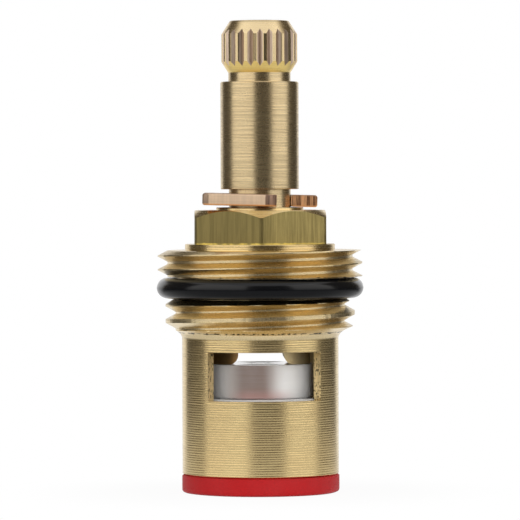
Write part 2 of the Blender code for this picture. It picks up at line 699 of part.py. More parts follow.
def main():
    clear_scene()
    parts = new_collection("disc_tap_cartridge")
    cutters = new_collection("cutters")
    body_brass = new_material("body_brass", (0.72, 0.53, 0.25), 0.30, 1.0)
    spindle_brass = new_material("spindle_brass", (0.76, 0.58, 0.34), 0.28, 1.0)
    copper = new_material("clip_copper", (0.72, 0.45, 0.34), 0.35, 1.0)
    black_rubber = new_material("black_rubber", (0.015, 0.016, 0.02), 0.35, 0.0)
    red_rubber = new_material("red_rubber", (0.72, 0.03, 0.04), 0.50, 0.0)
    ceramic = new_material("white_ceramic", (0.86, 0.86, 0.85), 0.25, 0.0)
    plastic = new_material("white_acetal", (0.85, 0.84, 0.80), 0.45, 0.0)
    steel = new_material("ring_steel", (0.62, 0.62, 0.62), 0.30, 1.0)

    valve_body(parts, cutters, body_brass)
    thrust_washer(parts, plastic)
    lower_ceramic_disc(parts, ceramic)
    seat_seal(parts, red_rubber)
    seal_backing_ring(parts, steel)
    body_ring_z = GROOVE_Z + SNUG_GAP + BODY_RING_SECTION / 2
    body_ring = rubber_ring(
        "body_o_ring",
        BODY_RING_RADIUS,
        BODY_RING_SECTION,
        body_ring_z,
        SLIM_SIDES,
        BODY_RING_SECTION_SIDES,
        parts,
    )
    settle(body_ring, black_rubber)

    spindle_axis = bpy.data.objects.new("spindle_axis", None)
    parts.objects.link(spindle_axis)
    turning = [
        spindle(parts, cutters, spindle_brass),
        retaining_clip(parts, copper),
        upper_ceramic_disc(parts, ceramic),
    ]
    for name, height in zip(("spindle_o_ring_lower", "spindle_o_ring_upper"), STEM_RING_ZS):
        ring = rubber_ring(
            name,
            STEM_RING_RADIUS,
            STEM_RING_SECTION,
            height,
            STEM_RING_SIDES,
            STEM_RING_SECTION_SIDES,
            parts,
        )
        turning.append(settle(ring, black_rubber))
    for piece in turning:
        piece.parent = spindle_axis


main()
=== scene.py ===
"""Finish and studio set of a quarter-turn ceramic disc tap cartridge, laid out as a Blender add-on.

Each new piece is a surface worked out with numpy: rings of points, turned about the cartridge's axis or
carried along a path, joined by quads. Lengths are in metres and the frame is the solid model's own.
Azimuths are in degrees, counted from +X, and -90 is the front, where one of the two windows is.
"""

import functools
import math
from typing import NamedTuple

import bmesh
import bpy
import numpy as np
from bpy.props import FloatProperty, FloatVectorProperty, IntProperty, PointerProperty
from mathutils import Matrix, Vector


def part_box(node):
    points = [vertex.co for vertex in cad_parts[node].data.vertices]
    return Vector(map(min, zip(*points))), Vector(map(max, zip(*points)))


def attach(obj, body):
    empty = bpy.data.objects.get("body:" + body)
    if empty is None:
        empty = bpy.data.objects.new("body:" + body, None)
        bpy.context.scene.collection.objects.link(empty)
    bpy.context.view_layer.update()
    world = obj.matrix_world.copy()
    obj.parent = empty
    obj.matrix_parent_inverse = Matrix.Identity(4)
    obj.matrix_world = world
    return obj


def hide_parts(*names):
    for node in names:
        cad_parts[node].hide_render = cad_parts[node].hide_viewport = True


bl_info = {
    "name": "Disc Tap Cartridge",
    "version": (1, 0, 0),
    "blender": (4, 5, 0),
    "location": "View3D > Sidebar > Cartridge",
    "description": "Makes the finished surfaces of a ceramic disc tap cartridge and its studio set",
    "category": "Add Mesh",
}

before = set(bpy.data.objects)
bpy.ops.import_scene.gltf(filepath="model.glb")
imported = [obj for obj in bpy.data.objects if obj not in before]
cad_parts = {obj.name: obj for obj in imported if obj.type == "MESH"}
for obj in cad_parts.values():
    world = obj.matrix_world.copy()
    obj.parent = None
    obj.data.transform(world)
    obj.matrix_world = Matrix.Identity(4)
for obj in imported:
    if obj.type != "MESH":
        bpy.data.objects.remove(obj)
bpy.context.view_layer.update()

MM = 0.001
FRONT_DEG = -90.0
WINDOW_CENTRES_DEG = (90.0, 270.0)
HARD_EDGE_DEG = 32.0
SOFT_EDGE_DEG = 75.0
JAMB_BAND_DEG = 4.0
# Half the angle of a stop rib, and the angle of one of its sides
RIB_HALF_DEG = 10.0
RIB_SIDE_DEG = 0.12
# The stop flange's reliefs, the first one's azimuths, and the angle of one side
RELIEF_FROM_DEG = -10.5
RELIEF_TO_DEG = 100.5
RELIEF_SIDE_DEG = 0.1
# The studio's dark middle, counted from the front
DARK_MIDDLE_DEG = 7.0
# Room round rubber and discs, and round an ear in its keyway
FIT_GAP = 0.04 * MM
KEY_ROOM = 0.08 * MM
# Width of the band along each edge of the clip's strip whose points keep their distance from the edge
EDGE_BAND = 3.0 * MM
# Share of a key's angle that its floor takes. Its two sides take the rest
KEY_SHARE = 0.98
# Bands of quads up the skirt's inside below the windows, and from a window's sill to its head
SKIRT_ROWS = 4
WINDOW_ROWS = 33
# Concave run-out under the lower thread, from the skirt up: shares of its height and of its width
RUN_OUT_CURVE = ((0.0, 0.0), (0.10, 0.02), (0.32, 0.10), (0.55, 0.28), (0.75, 0.52), (0.92, 0.80), (1.0, 1.0))
# Numbers of the Mix node's colour sockets
MIX_FIRST, MIX_SECOND = 6, 7
MIX_COLOUR = 2
# Finishes of the body, the spindle, the clip and the discs, in the order of their materials
# The body's last finish, inside the chamber, is painted shade
TURNED, FLATS, THREADS, SAWN, SHADED_BORE = range(5)
# On the spindle, the tip and cone finishes are painted light
TURNED, SPLINES, MILLED, TIP_PAINTED_LIGHT, CONE_PAINTED_LIGHT = range(5)
# On the clip, the two end finishes are painted shade and painted light
ROLLED, SHEARED_END_SHADED, SIDE_END_LIT = range(3)
RIM, POLISHED = range(2)


def low(node):
    """Height of the lowest point of a solid."""
    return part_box(node)[0].z


def high(node):
    """Height of the highest point of a solid."""
    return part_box(node)[1].z


def reach(node):
    """Half the larger of a solid's widths along X and Y."""
    lowest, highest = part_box(node)
    return max(highest.x - lowest.x, highest.y - lowest.y) / 2


def length(name, description, default):
    """A length property, whose default is given in metres."""
    return FloatProperty(name=name, description=description, default=default, unit="LENGTH", precision=5)


def angle(name, description, degrees):
    """An angle property, whose default is given in degrees."""
    return FloatProperty(name=name, description=description, default=math.radians(degrees), subtype="ANGLE")


def share(name, description, default):
    """A property from 0 to 1."""
    return FloatProperty(name=name, description=description, default=default, min=0, max=1, subtype="FACTOR")


def colour(name, description, default):
    """A linear colour property."""
    limits = {"min": 0, "max": 1, "subtype": "COLOR"}
    return FloatVectorProperty(name=name, description=description, default=default, **limits)


class BodySizes(bpy.types.PropertyGroup):
    """Sizes of the turned brass body."""

    skirt_radius: length("Skirt radius", "Outside of the skirt round the windows", reach("seat_seal"))
    skirt_wall: length("Skirt wall", "Thickness of the skirt", 1.1 * MM)
    window_half_angle: angle("Window half angle", "From a window's middle to its jamb", 45.6)
    window_turn: angle("Window turn", "How far both windows stand askew", 0.8)
    jamb_splay: angle("Jamb splay", "How far the jambs' inner edges lie outside the outer ones", 1.2)
    window_sill: length("Window sill", "Height of the sill", high("lower_ceramic_disc") - 0.3 * MM)
    window_head: length("Window head", "Height of the head", high("lower_ceramic_disc") + 5.02 * MM)
    keyway_top: length("Keyway top", "Height of the keyways' ends", high("lower_ceramic_disc") + 0.3 * MM)
    run_out: length("Run-out", "Height of the skirt's upper end", high("lower_ceramic_disc") + 6.45 * MM)
    lower_thread_foot: length("Lower thread foot", "Height of the first whole turn", 18.43 * MM)
    lower_thread_radius: length("Lower thread radius", "Over the crests", 10.40 * MM)
    lower_thread_root: length("Lower thread root", "Radius in the roots", 9.30 * MM)
    lower_thread_pitch: length("Lower thread pitch", "Pitch of a G 1/2 thread", 1.814 * MM)
    lower_thread_crest: length("Lower thread crest", "Height of a crest at the front", 19.30 * MM)
    groove_foot: length("Groove foot", "Height of the ring groove's lower side", 21.30 * MM)
    groove_top: length("Groove top", "Height of the ring groove's upper side", 23.70 * MM)
    groove_radius: length("Groove radius", "Radius of the ring groove's floor", 9.07 * MM)
    upper_thread_radius: length("Upper thread radius", "Over the crests", 11.24 * MM)
    upper_thread_root: length("Upper thread root", "Radius in the roots", 10.18 * MM)
    upper_thread_pitch: length("Upper thread pitch", "Pitch of the gland thread", 1.5 * MM)
    upper_thread_crest: length("Upper thread crest", "Height of a crest at the front", 24.86 * MM)
    collar_foot: length("Collar foot", "Height of the collar's lower edge", 26.59 * MM)
    collar_radius: length("Collar radius", "Outside of the collar", 8.25 * MM)
    hexagon_foot: length("Hexagon foot", "Height of the hexagon's lower edge", 27.29 * MM)
    hexagon_top: length("Hexagon top", "Height of the hexagon's top face", 30.99 * MM)
    hexagon_flats: length("Across flats", "Spanner size", 14.36 * MM)
    hexagon_turn: angle("Hexagon turn", "How far the hexagon stands askew to the windows", -2.1)
    hexagon_corner_cut: length("Hexagon corner cut", "What is missing from the hexagon's corners", 0.11 * MM)
    hexagon_top_radius: length("Hexagon top radius", "Where the chamfer cuts the top face", 7.1 * MM)
    hexagon_chamfer: angle("Hexagon chamfer", "Slope of the chamfer", 36)
    boss_radius: length("Boss radius", "Outside of the boss under the clip", 4.8 * MM)
    bore_radius: length("Bore radius", "The stem's bore", 4.36 * MM)
    ceiling: length("Ceiling", "Height of the chamber's ceiling", high("thrust_washer") + 0.03 * MM)
    rib_foot: length("Rib foot", "Height of the stop ribs' lower ends", 16.49 * MM)
    rib_reach: length("Rib reach", "How far a stop rib stands into the chamber", 0.9 * MM)
    burr: length("Burr", "How far a burr stands off a cut edge", 0.045 * MM)
    # The dark line at this height is painted shadow under the burr, not the burr's own colour
    burr_shadow_line: length("Burr line", "Height of the dark burr under the lower thread", 17.62 * MM)


class SpindleSizes(bpy.types.PropertyGroup):
    """Sizes of the turned brass spindle."""

    radius: length("Radius", "Stem and barrel", 4.3 * MM)
    barrel_foot: length("Barrel foot", "Height of the barrel's lower end", 33.29 * MM)
    barrel_top: length("Barrel top", "Height of the barrel's upper end", 45.09 * MM)
    groove_foot: length("Clip groove foot", "Height of the clip groove's lower end", 31.19 * MM)
    groove_radius: length("Clip groove radius", "Radius of the clip groove's floor", 3.4 * MM)
    neck_top: length("Neck top", "Height of the neck's upper end", 46.09 * MM)
    neck_radius: length("Neck radius", "Radius of the neck", 3.42 * MM)
    teeth: IntProperty(name="Teeth", description="Teeth round the splined head", default=24)
    first_valley: angle("First valley", "Azimuth of the valley at the front", -92)
    spline_radius: length("Spline radius", "Over the teeth", 4.18 * MM)
    spline_depth: length("Spline depth", "From a tooth's land to the valley", 0.34 * MM)
    land_share: share("Land share", "A land's width as a share of the pitch", 0.28)
    spline_foot: length("Spline foot", "Height where the lower cone ends", 47.29 * MM)
    spline_top: length("Spline top", "Height where the upper cone starts", 50.29 * MM)
    tip: length("Tip", "Height where the upper cone ends", 51.54 * MM)
    tip_radius: length("Tip radius", "Radius of the tip", 3.38 * MM)
    hole_radius: length("Hole radius", "Handle screw's hole, over its thread's crests", 1.65 * MM)
    hole_root: length("Hole root", "Handle screw's hole, in its thread's roots", 1.98 * MM)
    hole_pitch: length("Hole pitch", "Pitch of the handle screw", 0.7 * MM)
    hole_depth: length("Hole depth", "Depth of the handle screw's hole", 11.0 * MM)
    flange_top: length("Flange top", "Upper side of the stop flange", low("thrust_washer") - 0.03 * MM)
    flange_foot: length("Flange foot", "Height of the stop flange's lower side", 16.49 * MM)
    flange_radius: length("Flange radius", "Outside of the stop flange", reach("spindle"))
    relief_radius: length("Relief radius", "Radius in the flange's reliefs", 6.4 * MM)
    driver_turn: angle("Driver turn", "How far the slot and the upper disc stand askew", -2.1)
    driver_radius: length("Driver radius", "Outside of the two legs", reach("upper_ceramic_disc") - 0.20 * MM)
    driver_foot: length("Driver foot", "Height of the legs' feet", high("upper_ceramic_disc") - 0.12 * MM)
    slot_width: length("Slot width", "Between the two legs", 5.0 * MM)
    slot_height: length("Slot height", "From the legs' feet to the slot's ceiling", 2.05 * MM)
    leg_corner: length("Leg corner", "Radius of a leg's lower inner corner", 1.05 * MM)
    tongue_floor: length("Tongue floor", "From the axis to a tongue's inner face", 4.68 * MM)
    tongue_width: length("Tongue width", "Width of a tongue", 2.30 * MM)


class ClipSizes(bpy.types.PropertyGroup):
    """Sizes of the pressed copper clip."""

    width: length("Width", "Across the square", 12.58 * MM)
    thickness: length("Thickness", "Thickness of the strip", 1.3 * MM)
    corner: length("Corner", "Radius of the three corners", 0.5 * MM)
    front_end: length("Front end", "How far past the axis the front arm reaches", 1.80 * MM)
    side_end: length("Side end", "How far past the axis the side arm reaches", 0.70 * MM)
    bore: length("Bore", "Radius of the hole", 3.46 * MM)
    shear: length("Shear", "How far the front arm's end is bent back by the shears", 1.2 * MM)
    tilt: angle("Tilt", "How far the clip lies askew", 1.5)
    turn: angle("Turn", "How far the clip is turned round the spindle", -3.2)
    shift: length("Shift", "How far the clip stands off centre", 0.04 * MM)
    rounding: length("Rounding", "Rounding of the pressed edges", 0.26 * MM)


class RubberSizes(bpy.types.PropertyGroup):
    """Sizes of the rubber pieces and the stiff ring."""

    body_ring_section: length("Body ring section", "Thickness of the ring between the threads", 2.26 * MM)
    stem_ring_section: length("Stem ring section", "Thickness of the stem's rings", 1.6 * MM)
    seal_flange: length("Seal flange", "Height of the seal's flange", 1.95 * MM)
    seal_bore: length("Seal bore", "Radius of the seal's bore", 4.9 * MM)
    lip_depth: length("Lip depth", "How far the seal's lips cover the stiff ring", 0.9 * MM)
    foot_lip: length("Foot lip", "Height of the lower lip", 1.2 * MM)
    top_lip: length("Top lip", "Height of the upper lip", 0.75 * MM)
    ring_wall: length("Ring wall", "Thickness of the stiff ring", 0.65 * MM)
    moulding_wave: length("Moulding wave", "How far the seal's edge wanders", 0.05 * MM)


class DiscSizes(bpy.types.PropertyGroup):
    """Sizes of the two ceramic discs and the washer."""

    key_width: length("Key width", "Width of an ear", 3.2 * MM)
    upper_rim: length("Upper rim", "How much wider the upper disc is than in the solids", 0.20 * MM)
    notch_width: length("Notch width", "Width of a notch", 2.40 * MM)
    notch_depth: length("Notch depth", "Depth of the upper disc's notches", 1.25 * MM)
    ear_reach: length("Ear reach", "How far the lower disc's ears stand out", 0.49 * MM)
    port_hub: length("Port hub", "From the axis to a port", 1.5 * MM)
    port_radius: length("Port radius", "From the axis to a port's far side", 4.3 * MM)
    port_half_angle: angle("Port half angle", "From a port's middle to its side", 38)
    chamfer: length("Chamfer", "Chamfer of the discs' edges", 0.1 * MM)
    wear: length("Wear", "How much lower the discs' joint lies than in the solids", 0.13 * MM)
    lapping: length("Lapping", "What lapping takes off the upper disc's top face", 0.15 * MM)


class Finishes(bpy.types.PropertyGroup):
    """Colours of the finishes."""

    body_brass: colour("Body brass", "Turned brass of the body", (0.80, 0.62, 0.31))
    thread_brass: colour("Thread brass", "Cut brass of the threads", (0.80, 0.65, 0.38))
    spindle_brass: colour("Spindle brass", "Turned brass of the spindle", (0.73, 0.58, 0.34))
    drawn_brass: colour("Drawn brass", "Skin of the bar on the hexagon's flats", (0.40, 0.32, 0.125))
    copper: colour("Copper", "Face of the clip", (0.93, 0.68, 0.46))
    black_rubber: colour("Black rubber", "Rubber rings", (0.004, 0.0043, 0.0055))
    red_rubber: colour("Red rubber", "Seat seal", (0.55, 0.015, 0.018))
    ceramic: colour("Ceramic", "Lapped discs", (0.93, 0.93, 0.92))
    acetal: colour("Acetal", "Thrust washer", (0.80, 0.79, 0.74))
    steel: colour("Steel", "Stiff ring in the seal", (0.62, 0.62, 0.62))


class StageSizes(bpy.types.PropertyGroup):
    """Camera, lamps and studio."""

    distance: length("Camera distance", "From the axis to the camera", 0.491)
    azimuth: angle("Camera azimuth", "How far the camera stands left of the front", -3.2)
    eye_height: length("Eye height", "Height of the camera", 35.4 * MM)
    aim_height: length("Aim height", "Height on the axis at the picture's middle", 25.5 * MM)
    roll: angle("Camera roll", "How far the top leans left", 0.2)
    focal_length: FloatProperty(name="Focal length", description="In millimetres", default=309.2)
    lamp_distance: length("Lamp distance", "From the axis to each lamp", 0.60)
    lamp_height: length("Lamp height", "Height of each lamp", 0.80)
    left_azimuth: angle("Left lamp azimuth", "From the front to the left lamp's middle", -56)
    left_width: length("Left lamp width", "Width of the left lamp", 0.90)
    right_azimuth: angle("Right lamp azimuth", "From the front to the right lamp's middle", 60.5)
    right_width: length("Right lamp width", "Width of the right lamp", 0.58)
    lamp_level: share("Lamp level", "Brightness of the lamps", 0.90)
    lamp_floor_level: share("Lamp floor level", "Brightness in metal of the floor under the lamps", 0.30)
    fill_azimuth: angle("Fill azimuth", "From the front to the fill lamp's middle", 12)
    fill_width: length("Fill width", "Width and height of the fill lamp", 0.30)
    fill_level: FloatProperty(name="Fill level", description="Brightness of the fill lamp", default=4.3)
    room_level: share("Room level", "Brightness that lights the object from all round", 0.33)
    dark_level: share("Dark level", "Brightness of the studio's dark sides in metal", 0.085)
    floor_level: share("Floor level", "Brightness in metal of the floor round the object", 0.74)
    floor_shade: share("Floor shade", "How much of the object's shadow shows on the floor", 0.05)


class Corner(NamedTuple):
    """A corner of a turned profile. Its radius and height are numbers or arrays over the azimuths. So many
    rows lie on the line that starts there, and the bands below them wear the material of that finish."""

    radius: float
    height: float
    rows: int = 1
    finish: int = 0


class Rows(NamedTuple):
    """Rows of a turned surface: radii and heights over rows and azimuths, and a finish for each row."""

    radii: np.ndarray
    heights: np.ndarray
    finishes: np.ndarray


class Thread(NamedTuple):
    """A thread: its pitch, the height of a crest at the front, its radii, and the heights of its flats."""

    pitch: float
    front_crest: float
    crest: float
    root: float
    crest_flat: float
    root_flat: float


def folded(degrees, period):
    """Degrees brought within half a period on either side of 0."""
    return np.mod(degrees + period / 2, period) - period / 2


def either_side(centres, *edges):
    """Azimuths at each edge's distance on both sides of each centre."""
    return [centre + side * edge for centre in centres for side in (-1, 1) for edge in edges]


def azimuths(count, *marks):
    """Sorted azimuths from 0 up to 360 degrees: the marks, and count even steps, which give way to them."""
    step = 360.0 / count
    even = np.arange(count) * step
    marks = np.unique(np.mod(np.array(marks, float), 360.0))
    if len(marks):
        apart = np.abs(folded(even[:, None] - marks[None, :], 360.0)).min(axis=1)
        even = even[apart > min(0.61 * step, 0.8)]
    return np.sort(np.concatenate((even, marks)))


def columns_at(degrees, *marks):
    """The column of points that lies nearest to each mark."""
    return [int(np.argmin(np.abs(degrees - mark))) for mark in marks]


def ripple(turns, seed, finest=60, coarsest=3):
    """A wavy number from about -1 to 1 for each value of turns: 12 sines of whole and random frequencies."""
    draw = np.random.default_rng(seed)
    rates = draw.integers(coarsest, finest, 12)
    phases = draw.uniform(0, 2 * math.pi, 12)
    waves = np.sin(2 * math.pi * rates * np.asarray(turns)[..., None] + phases)
    return waves.sum(axis=-1) / 4.0


def ring_points(radius, height, degrees):
    """Points of rows by azimuths: (radius cos a, radius sin a, height)."""
    turn = np.radians(degrees)
    return np.stack(np.broadcast_arrays(radius * np.cos(turn), radius * np.sin(turn), height), axis=-1)


def rows_between(columns, *corners):
    """Rows on straight lines from corner to corner. The last corner's own rows all lie on it."""
    radii, heights, finishes = [], [], []
    for here, there in zip(corners, (*corners[1:], corners[-1])):
        along = np.arange(here.rows)[:, None] / max(here.rows, 1)
        for store, first, last in ((radii, here.radius, there.radius), (heights, here.height, there.height)):
            first = np.broadcast_to(np.asarray(first, float), (columns,))
            store.append(first + (last - first) * along)
        finishes += [here.finish] * here.rows
    return Rows(np.concatenate(radii), np.concatenate(heights), np.array(finishes, int))


def thread_rows(top, foot, step, thread, degrees, burr=0.0, seed=1, finish=0):
    """Rows of a right-handed thread from top down to foot, about a step apart. The crest line climbs one
    pitch a turn from its height at the front. The radius falls from crest to root in straight flanks between
    the two flats. Where the edge of a flat passes between two rows, the nearer row is moved onto it."""
    count = int(round((top - foot) / step))
    spacing = (top - foot) / count
    heights = np.repeat(top - spacing * np.arange(count + 1)[:, None], len(degrees), axis=1)
    crest_line = thread.front_crest + thread.pitch * folded(degrees - FRONT_DEG, 360.0) / 360.0
    half_crest = thread.crest_flat / 2
    flank_end = (thread.pitch - thread.root_flat) / 2
    columns = np.arange(len(degrees))
    turns = int((top - foot) / thread.pitch) + 3
    for number in range(-turns, turns + 1):
        for offset in (-flank_end, -half_crest, half_crest, flank_end):
            knee = crest_line + number * thread.pitch + offset
            row = np.round((top - knee) / spacing).astype(int)
            inside = (row > 0) & (row < count)
            heights[row[inside], columns[inside]] = knee[inside]
    along = (heights - crest_line) / thread.pitch
    turn = np.round(along)
    apart = np.abs(along - turn) * thread.pitch
    fall = np.clip((apart - half_crest) / (flank_end - half_crest), 0, 1)
    helix = turn + np.mod(degrees - FRONT_DEG + 180.0, 360.0) / 360.0
    on_crest = 1 - np.clip(fall * 6, 0, 1)
    torn = burr * 0.4 * ripple(helix, seed, 140, 20) * on_crest
    radii = thread.crest - (thread.crest - thread.root) * fall + torn
    return Rows(radii, heights, np.full(count + 1, finish))


def stacked(parts, degrees):
    """Points and finishes of rows that follow one another."""
    points = [ring_points(part.radii, part.heights, degrees) for part in parts]
    return np.concatenate(points), np.concatenate([part.finishes for part in parts])


def keyed_points(radius, key_radius, key_width, height, degrees):
    """Rows of a circle with a key along +X and -X, an ear or a notch with flat sides and floor. Azimuths
    within the key's angle are spread over its floor, whose sides are then parallel."""
    half = key_width / 2
    edge = math.degrees(math.asin(half / radius))
    local = folded(degrees, 180.0)
    side = np.where(np.mod(degrees + 90.0, 360.0) < 180.0, 1.0, -1.0)
    keyed = np.abs(local) < edge - 1e-6
    across = np.clip(local / (edge * KEY_SHARE), -1, 1) * half
    x = np.where(keyed, key_radius, radius * np.cos(np.radians(local))) * side
    y = np.where(keyed, across, radius * np.sin(np.radians(local))) * side
    return np.stack(np.broadcast_arrays(x, y, np.atleast_1d(height)[:, None]), axis=-1)


def key_marks(radius, key_width):
    """Azimuths that keyed_points needs for a key's corners."""
    edge = math.degrees(math.asin(key_width / 2 / radius))
    return either_side((0, 180), edge, edge * KEY_SHARE)


def opening_edge(sheet, first, last):
    """Point numbers round an opening in a sheet, from its first to its last column."""
    head = sheet[0, last:first:-1]
    left = sheet[:-1, first]
    sill = sheet[-1, first:last]
    right = sheet[:0:-1, last]
    return np.concatenate((head, left, sill, right))


def surface(name, points, close_rows=False, finishes=None, tunnels=(), tunnel_steps=4, tunnel_finish=0):
    """A mesh of points (rows, columns, 3) whose columns close round the piece. Row by row it runs down the
    outside, so that quads (row, next row) by (column, next column) face outwards. Open ends are closed by a
    fan to their middle, unless the last row closes onto the first. Each tunnel is (outer rows, inner rows,
    columns): the quads there are left out of both sheets, and strips join the two openings' edges."""
    rows, columns = points.shape[:2]
    index = np.arange(rows * columns).reshape(rows, columns)
    beyond = np.roll(index, -1, axis=1)
    quads = np.stack((index, np.roll(index, -1, axis=0), np.roll(beyond, -1, axis=0), beyond), axis=-1)
    row_finishes = np.zeros(rows, int) if finishes is None else finishes
    quad_finishes = np.repeat(row_finishes[:, None], columns, axis=1)
    keep = np.ones((rows, columns), bool)
    keep[-1] = close_rows
    vertices = [points.reshape(-1, 3)]
    count = rows * columns
    strips = []
    for (outer_start, outer_end), (inner_start, inner_end), (first, last) in tunnels:
        keep[outer_start:outer_end, first:last] = False
        keep[inner_start:inner_end, first:last] = False
        outer_edge = opening_edge(index[outer_start:outer_end + 1], first, last)
        inner_edge = opening_edge(index[inner_start:inner_end + 1][::-1], first, last)
        start, end = vertices[0][outer_edge], vertices[0][inner_edge]
        loops = [outer_edge]
        for step in range(1, tunnel_steps):
            vertices.append(start + (end - start) * step / tunnel_steps)
            loops.append(count + np.arange(len(start)))
            count += len(start)
        loops.append(inner_edge)
        for near, far in zip(loops, loops[1:]):
            strips += np.stack((near, np.roll(near, -1), np.roll(far, -1), far), axis=-1).tolist()
    faces = quads[keep].tolist() + strips
    face_finishes = quad_finishes[keep].tolist() + [tunnel_finish] * len(strips)
    if not close_rows:
        for row, ahead, behind in ((0, index[0], beyond[0]), (rows - 1, beyond[-1], index[-1])):
            vertices.append(points[row].mean(axis=0)[None, :])
            middle = np.full(columns, count)
            count += 1
            faces += np.stack((middle, ahead, behind), axis=-1).tolist()
            face_finishes += [row_finishes[row]] * columns
    mesh = bpy.data.meshes.new(name)
    mesh.from_pydata(np.concatenate(vertices).tolist(), [], faces)
    mesh.polygons.foreach_set("material_index", np.array(face_finishes, np.int32))
    return mesh


def joined(name, meshes, hard_edge_deg=HARD_EDGE_DEG):
    """One object of several meshes, with doubled points merged and edges over hard_edge_deg kept sharp."""
    work = bmesh.new()
    for mesh in meshes:
        work.from_mesh(mesh)
    bmesh.ops.remove_doubles(work, verts=work.verts, dist=1e-7)
    bmesh.ops.dissolve_degenerate(work, edges=work.edges, dist=1e-8)
    bmesh.ops.recalc_face_normals(work, faces=work.faces)
    whole = bpy.data.meshes.new(name)
    work.to_mesh(whole)
    work.free()
    for mesh in meshes:
        bpy.data.meshes.remove(mesh)
    whole.shade_smooth()
    whole.set_sharp_from_angle(angle=math.radians(hard_edge_deg))
    piece = bpy.data.objects.new(name, whole)
    bpy.context.scene.collection.objects.link(piece)
    return piece


def hand_over(piece, node, slot, body, *materials):
    """Lets a finished piece stand for its solid, ride on its body and wear its materials."""
    for material in materials:
        piece.data.materials.append(material)
    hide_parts(node)
    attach(piece, body)


class Value:
    """A shader node's output that takes part in sums: each sign between values adds a Math node."""

    def __init__(self, node, name=0):
        self.socket = node.outputs[name]
        self.tree = node.id_data

    def __add__(self, other):
        return maths("ADD", self, other)

    def __sub__(self, other):
        return maths("SUBTRACT", self, other)

    def __rsub__(self, other):
        return maths("SUBTRACT", other, self)

    def __mul__(self, other):
        return maths("MULTIPLY", self, other)

    def __truediv__(self, other):
        return maths("DIVIDE", self, other)

    def __abs__(self):
        return maths("ABSOLUTE", self)

    def clamped(self):
        """The sum, kept from 0 to 1 by the Math node that makes it."""
        self.socket.node.use_clamp = True
        return self

    def mapped(self, start, end, low_value=0.0, high_value=1.0, smooth=False):
        """The value mapped from start..end to low_value..high_value."""
        kind = "SMOOTHSTEP" if smooth else "LINEAR"
        links = {"Value": self, "From Min": start, "From Max": end, "To Min": low_value, "To Max": high_value}
        return Value(add(self.tree, "ShaderNodeMapRange", links, interpolation_type=kind, clamp=True))

    def between(self, first, second):
        """A colour between first, where the value is 0, and second, where it is 1."""
        links = {0: self, MIX_FIRST: first, MIX_SECOND: second}
        return Value(add(self.tree, "ShaderNodeMix", links, data_type="RGBA"), MIX_COLOUR)

    def parted(self):
        """A vector's X, Y and Z."""
        split = add(self.tree, "ShaderNodeSeparateXYZ", {0: self})
        return [Value(split, axis) for axis in "XYZ"]


def wire(socket, value):
    """Links a value to an input, or sets the input to a number, a vector or a colour."""
    if isinstance(value, Value):
        socket.id_data.links.new(value.socket, socket)
    elif socket.type == "RGBA":
        socket.default_value = (*value, 1.0)
    else:
        socket.default_value = value


def add(tree, kind, links=None, **settings):
    """A shader node with its settings, and with links: values for its inputs by name or number."""
    made = tree.nodes.new(kind)
    for name, value in settings.items():
        setattr(made, name, value)
    for name, value in (links or {}).items():
        wire(made.inputs[name], value)
    return made


def maths(operation, *values):
    """The result of a Math node in the tree that the values are from."""
    tree = next(value.tree for value in values if isinstance(value, Value))
    return Value(add(tree, "ShaderNodeMath", dict(enumerate(values)), operation=operation))


def largest(first, *others):
    """The largest of some values."""
    for other in others:
        first = maths("MAXIMUM", first, other)
    return first


def off_axis(x, y):
    """Distance from the Z axis."""
    return maths("SQRT", x * x + y * y)


def layered(tone, *layers):
    """A colour with layers laid over it, each a mask from 0 to 1 and the layer's own colour."""
    for mask, layer in layers:
        tone = mask.between(tone, layer)
    return tone


def place(tree):
    """The tree's Object coordinates."""
    known = tree.nodes.get("Texture Coordinate")
    return Value(known or tree.nodes.new("ShaderNodeTexCoord"), "Object")


def noise(tree, scales, detail=2.0, roughness=0.5):
    """Noise on Object coordinates that are first scaled along X, Y and Z."""
    scaled = Value(add(tree, "ShaderNodeVectorMath", {0: place(tree), 1: scales}, operation="MULTIPLY"))
    links = {"Vector": scaled, "Scale": 1.0, "Detail": detail, "Roughness": roughness}
    return Value(add(tree, "ShaderNodeTexNoise", links))


def rays(tree):
    """Whether a ray comes from the camera, and whether it comes off gloss or through glass."""
    path = add(tree, "ShaderNodeLightPath")
    off_glass = Value(path, "Is Transmission Ray")
    return Value(path, "Is Camera Ray"), largest(Value(path, "Is Glossy Ray"), off_glass)


def effect(name, inputs, outputs):
    """Turns a function that fills a tree from values by title into one that places that tree in another as
    a node group, made once. Inputs are titles with their defaults, and outputs are titles."""

    def group_of(fill):
        tree = bpy.data.node_groups.new(name, "ShaderNodeTree")
        for title, default in inputs.items():
            socket = tree.interface.new_socket(title, in_out="INPUT", socket_type="NodeSocketFloat")
            socket.default_value = default
        for title in outputs:
            tree.interface.new_socket(title, in_out="OUTPUT", socket_type="NodeSocketFloat")
        entry = tree.nodes.new("NodeGroupInput")
        leave = tree.nodes.new("NodeGroupOutput")
        results = fill(tree, {title: Value(entry, title) for title in inputs})
        for title, result in zip(outputs, results):
            wire(leave.inputs[title], result)
        return tree

    def wrap(fill):
        @functools.wraps(fill)
        def placed(tree, **values):
            group = bpy.data.node_groups.get(name) or group_of(fill)
            links = {title.capitalize(): value for title, value in values.items()}
            made = add(tree, "ShaderNodeGroup", links, node_tree=group)
            return {title: Value(made, title) for title in outputs}

        return placed

    return wrap


@effect("Turning marks", {"Feed": 0.00026, "Wander": 0.8}, ["Groove"])
def turning_marks(tree, values):
    """Grooves that a lathe tool leaves, as a sine of the height over the feed, each a bit uneven."""
    _, _, z = place(tree).parted()
    turns = z / values["Feed"] + noise(tree, (90, 90, 700)) * values["Wander"]
    groove = maths("SINE", turns * (2 * math.pi)).mapped(-1.0, 1.0)
    return [groove * noise(tree, (120, 120, 1500)).mapped(0.3, 0.6, 0.35, 1.0)]


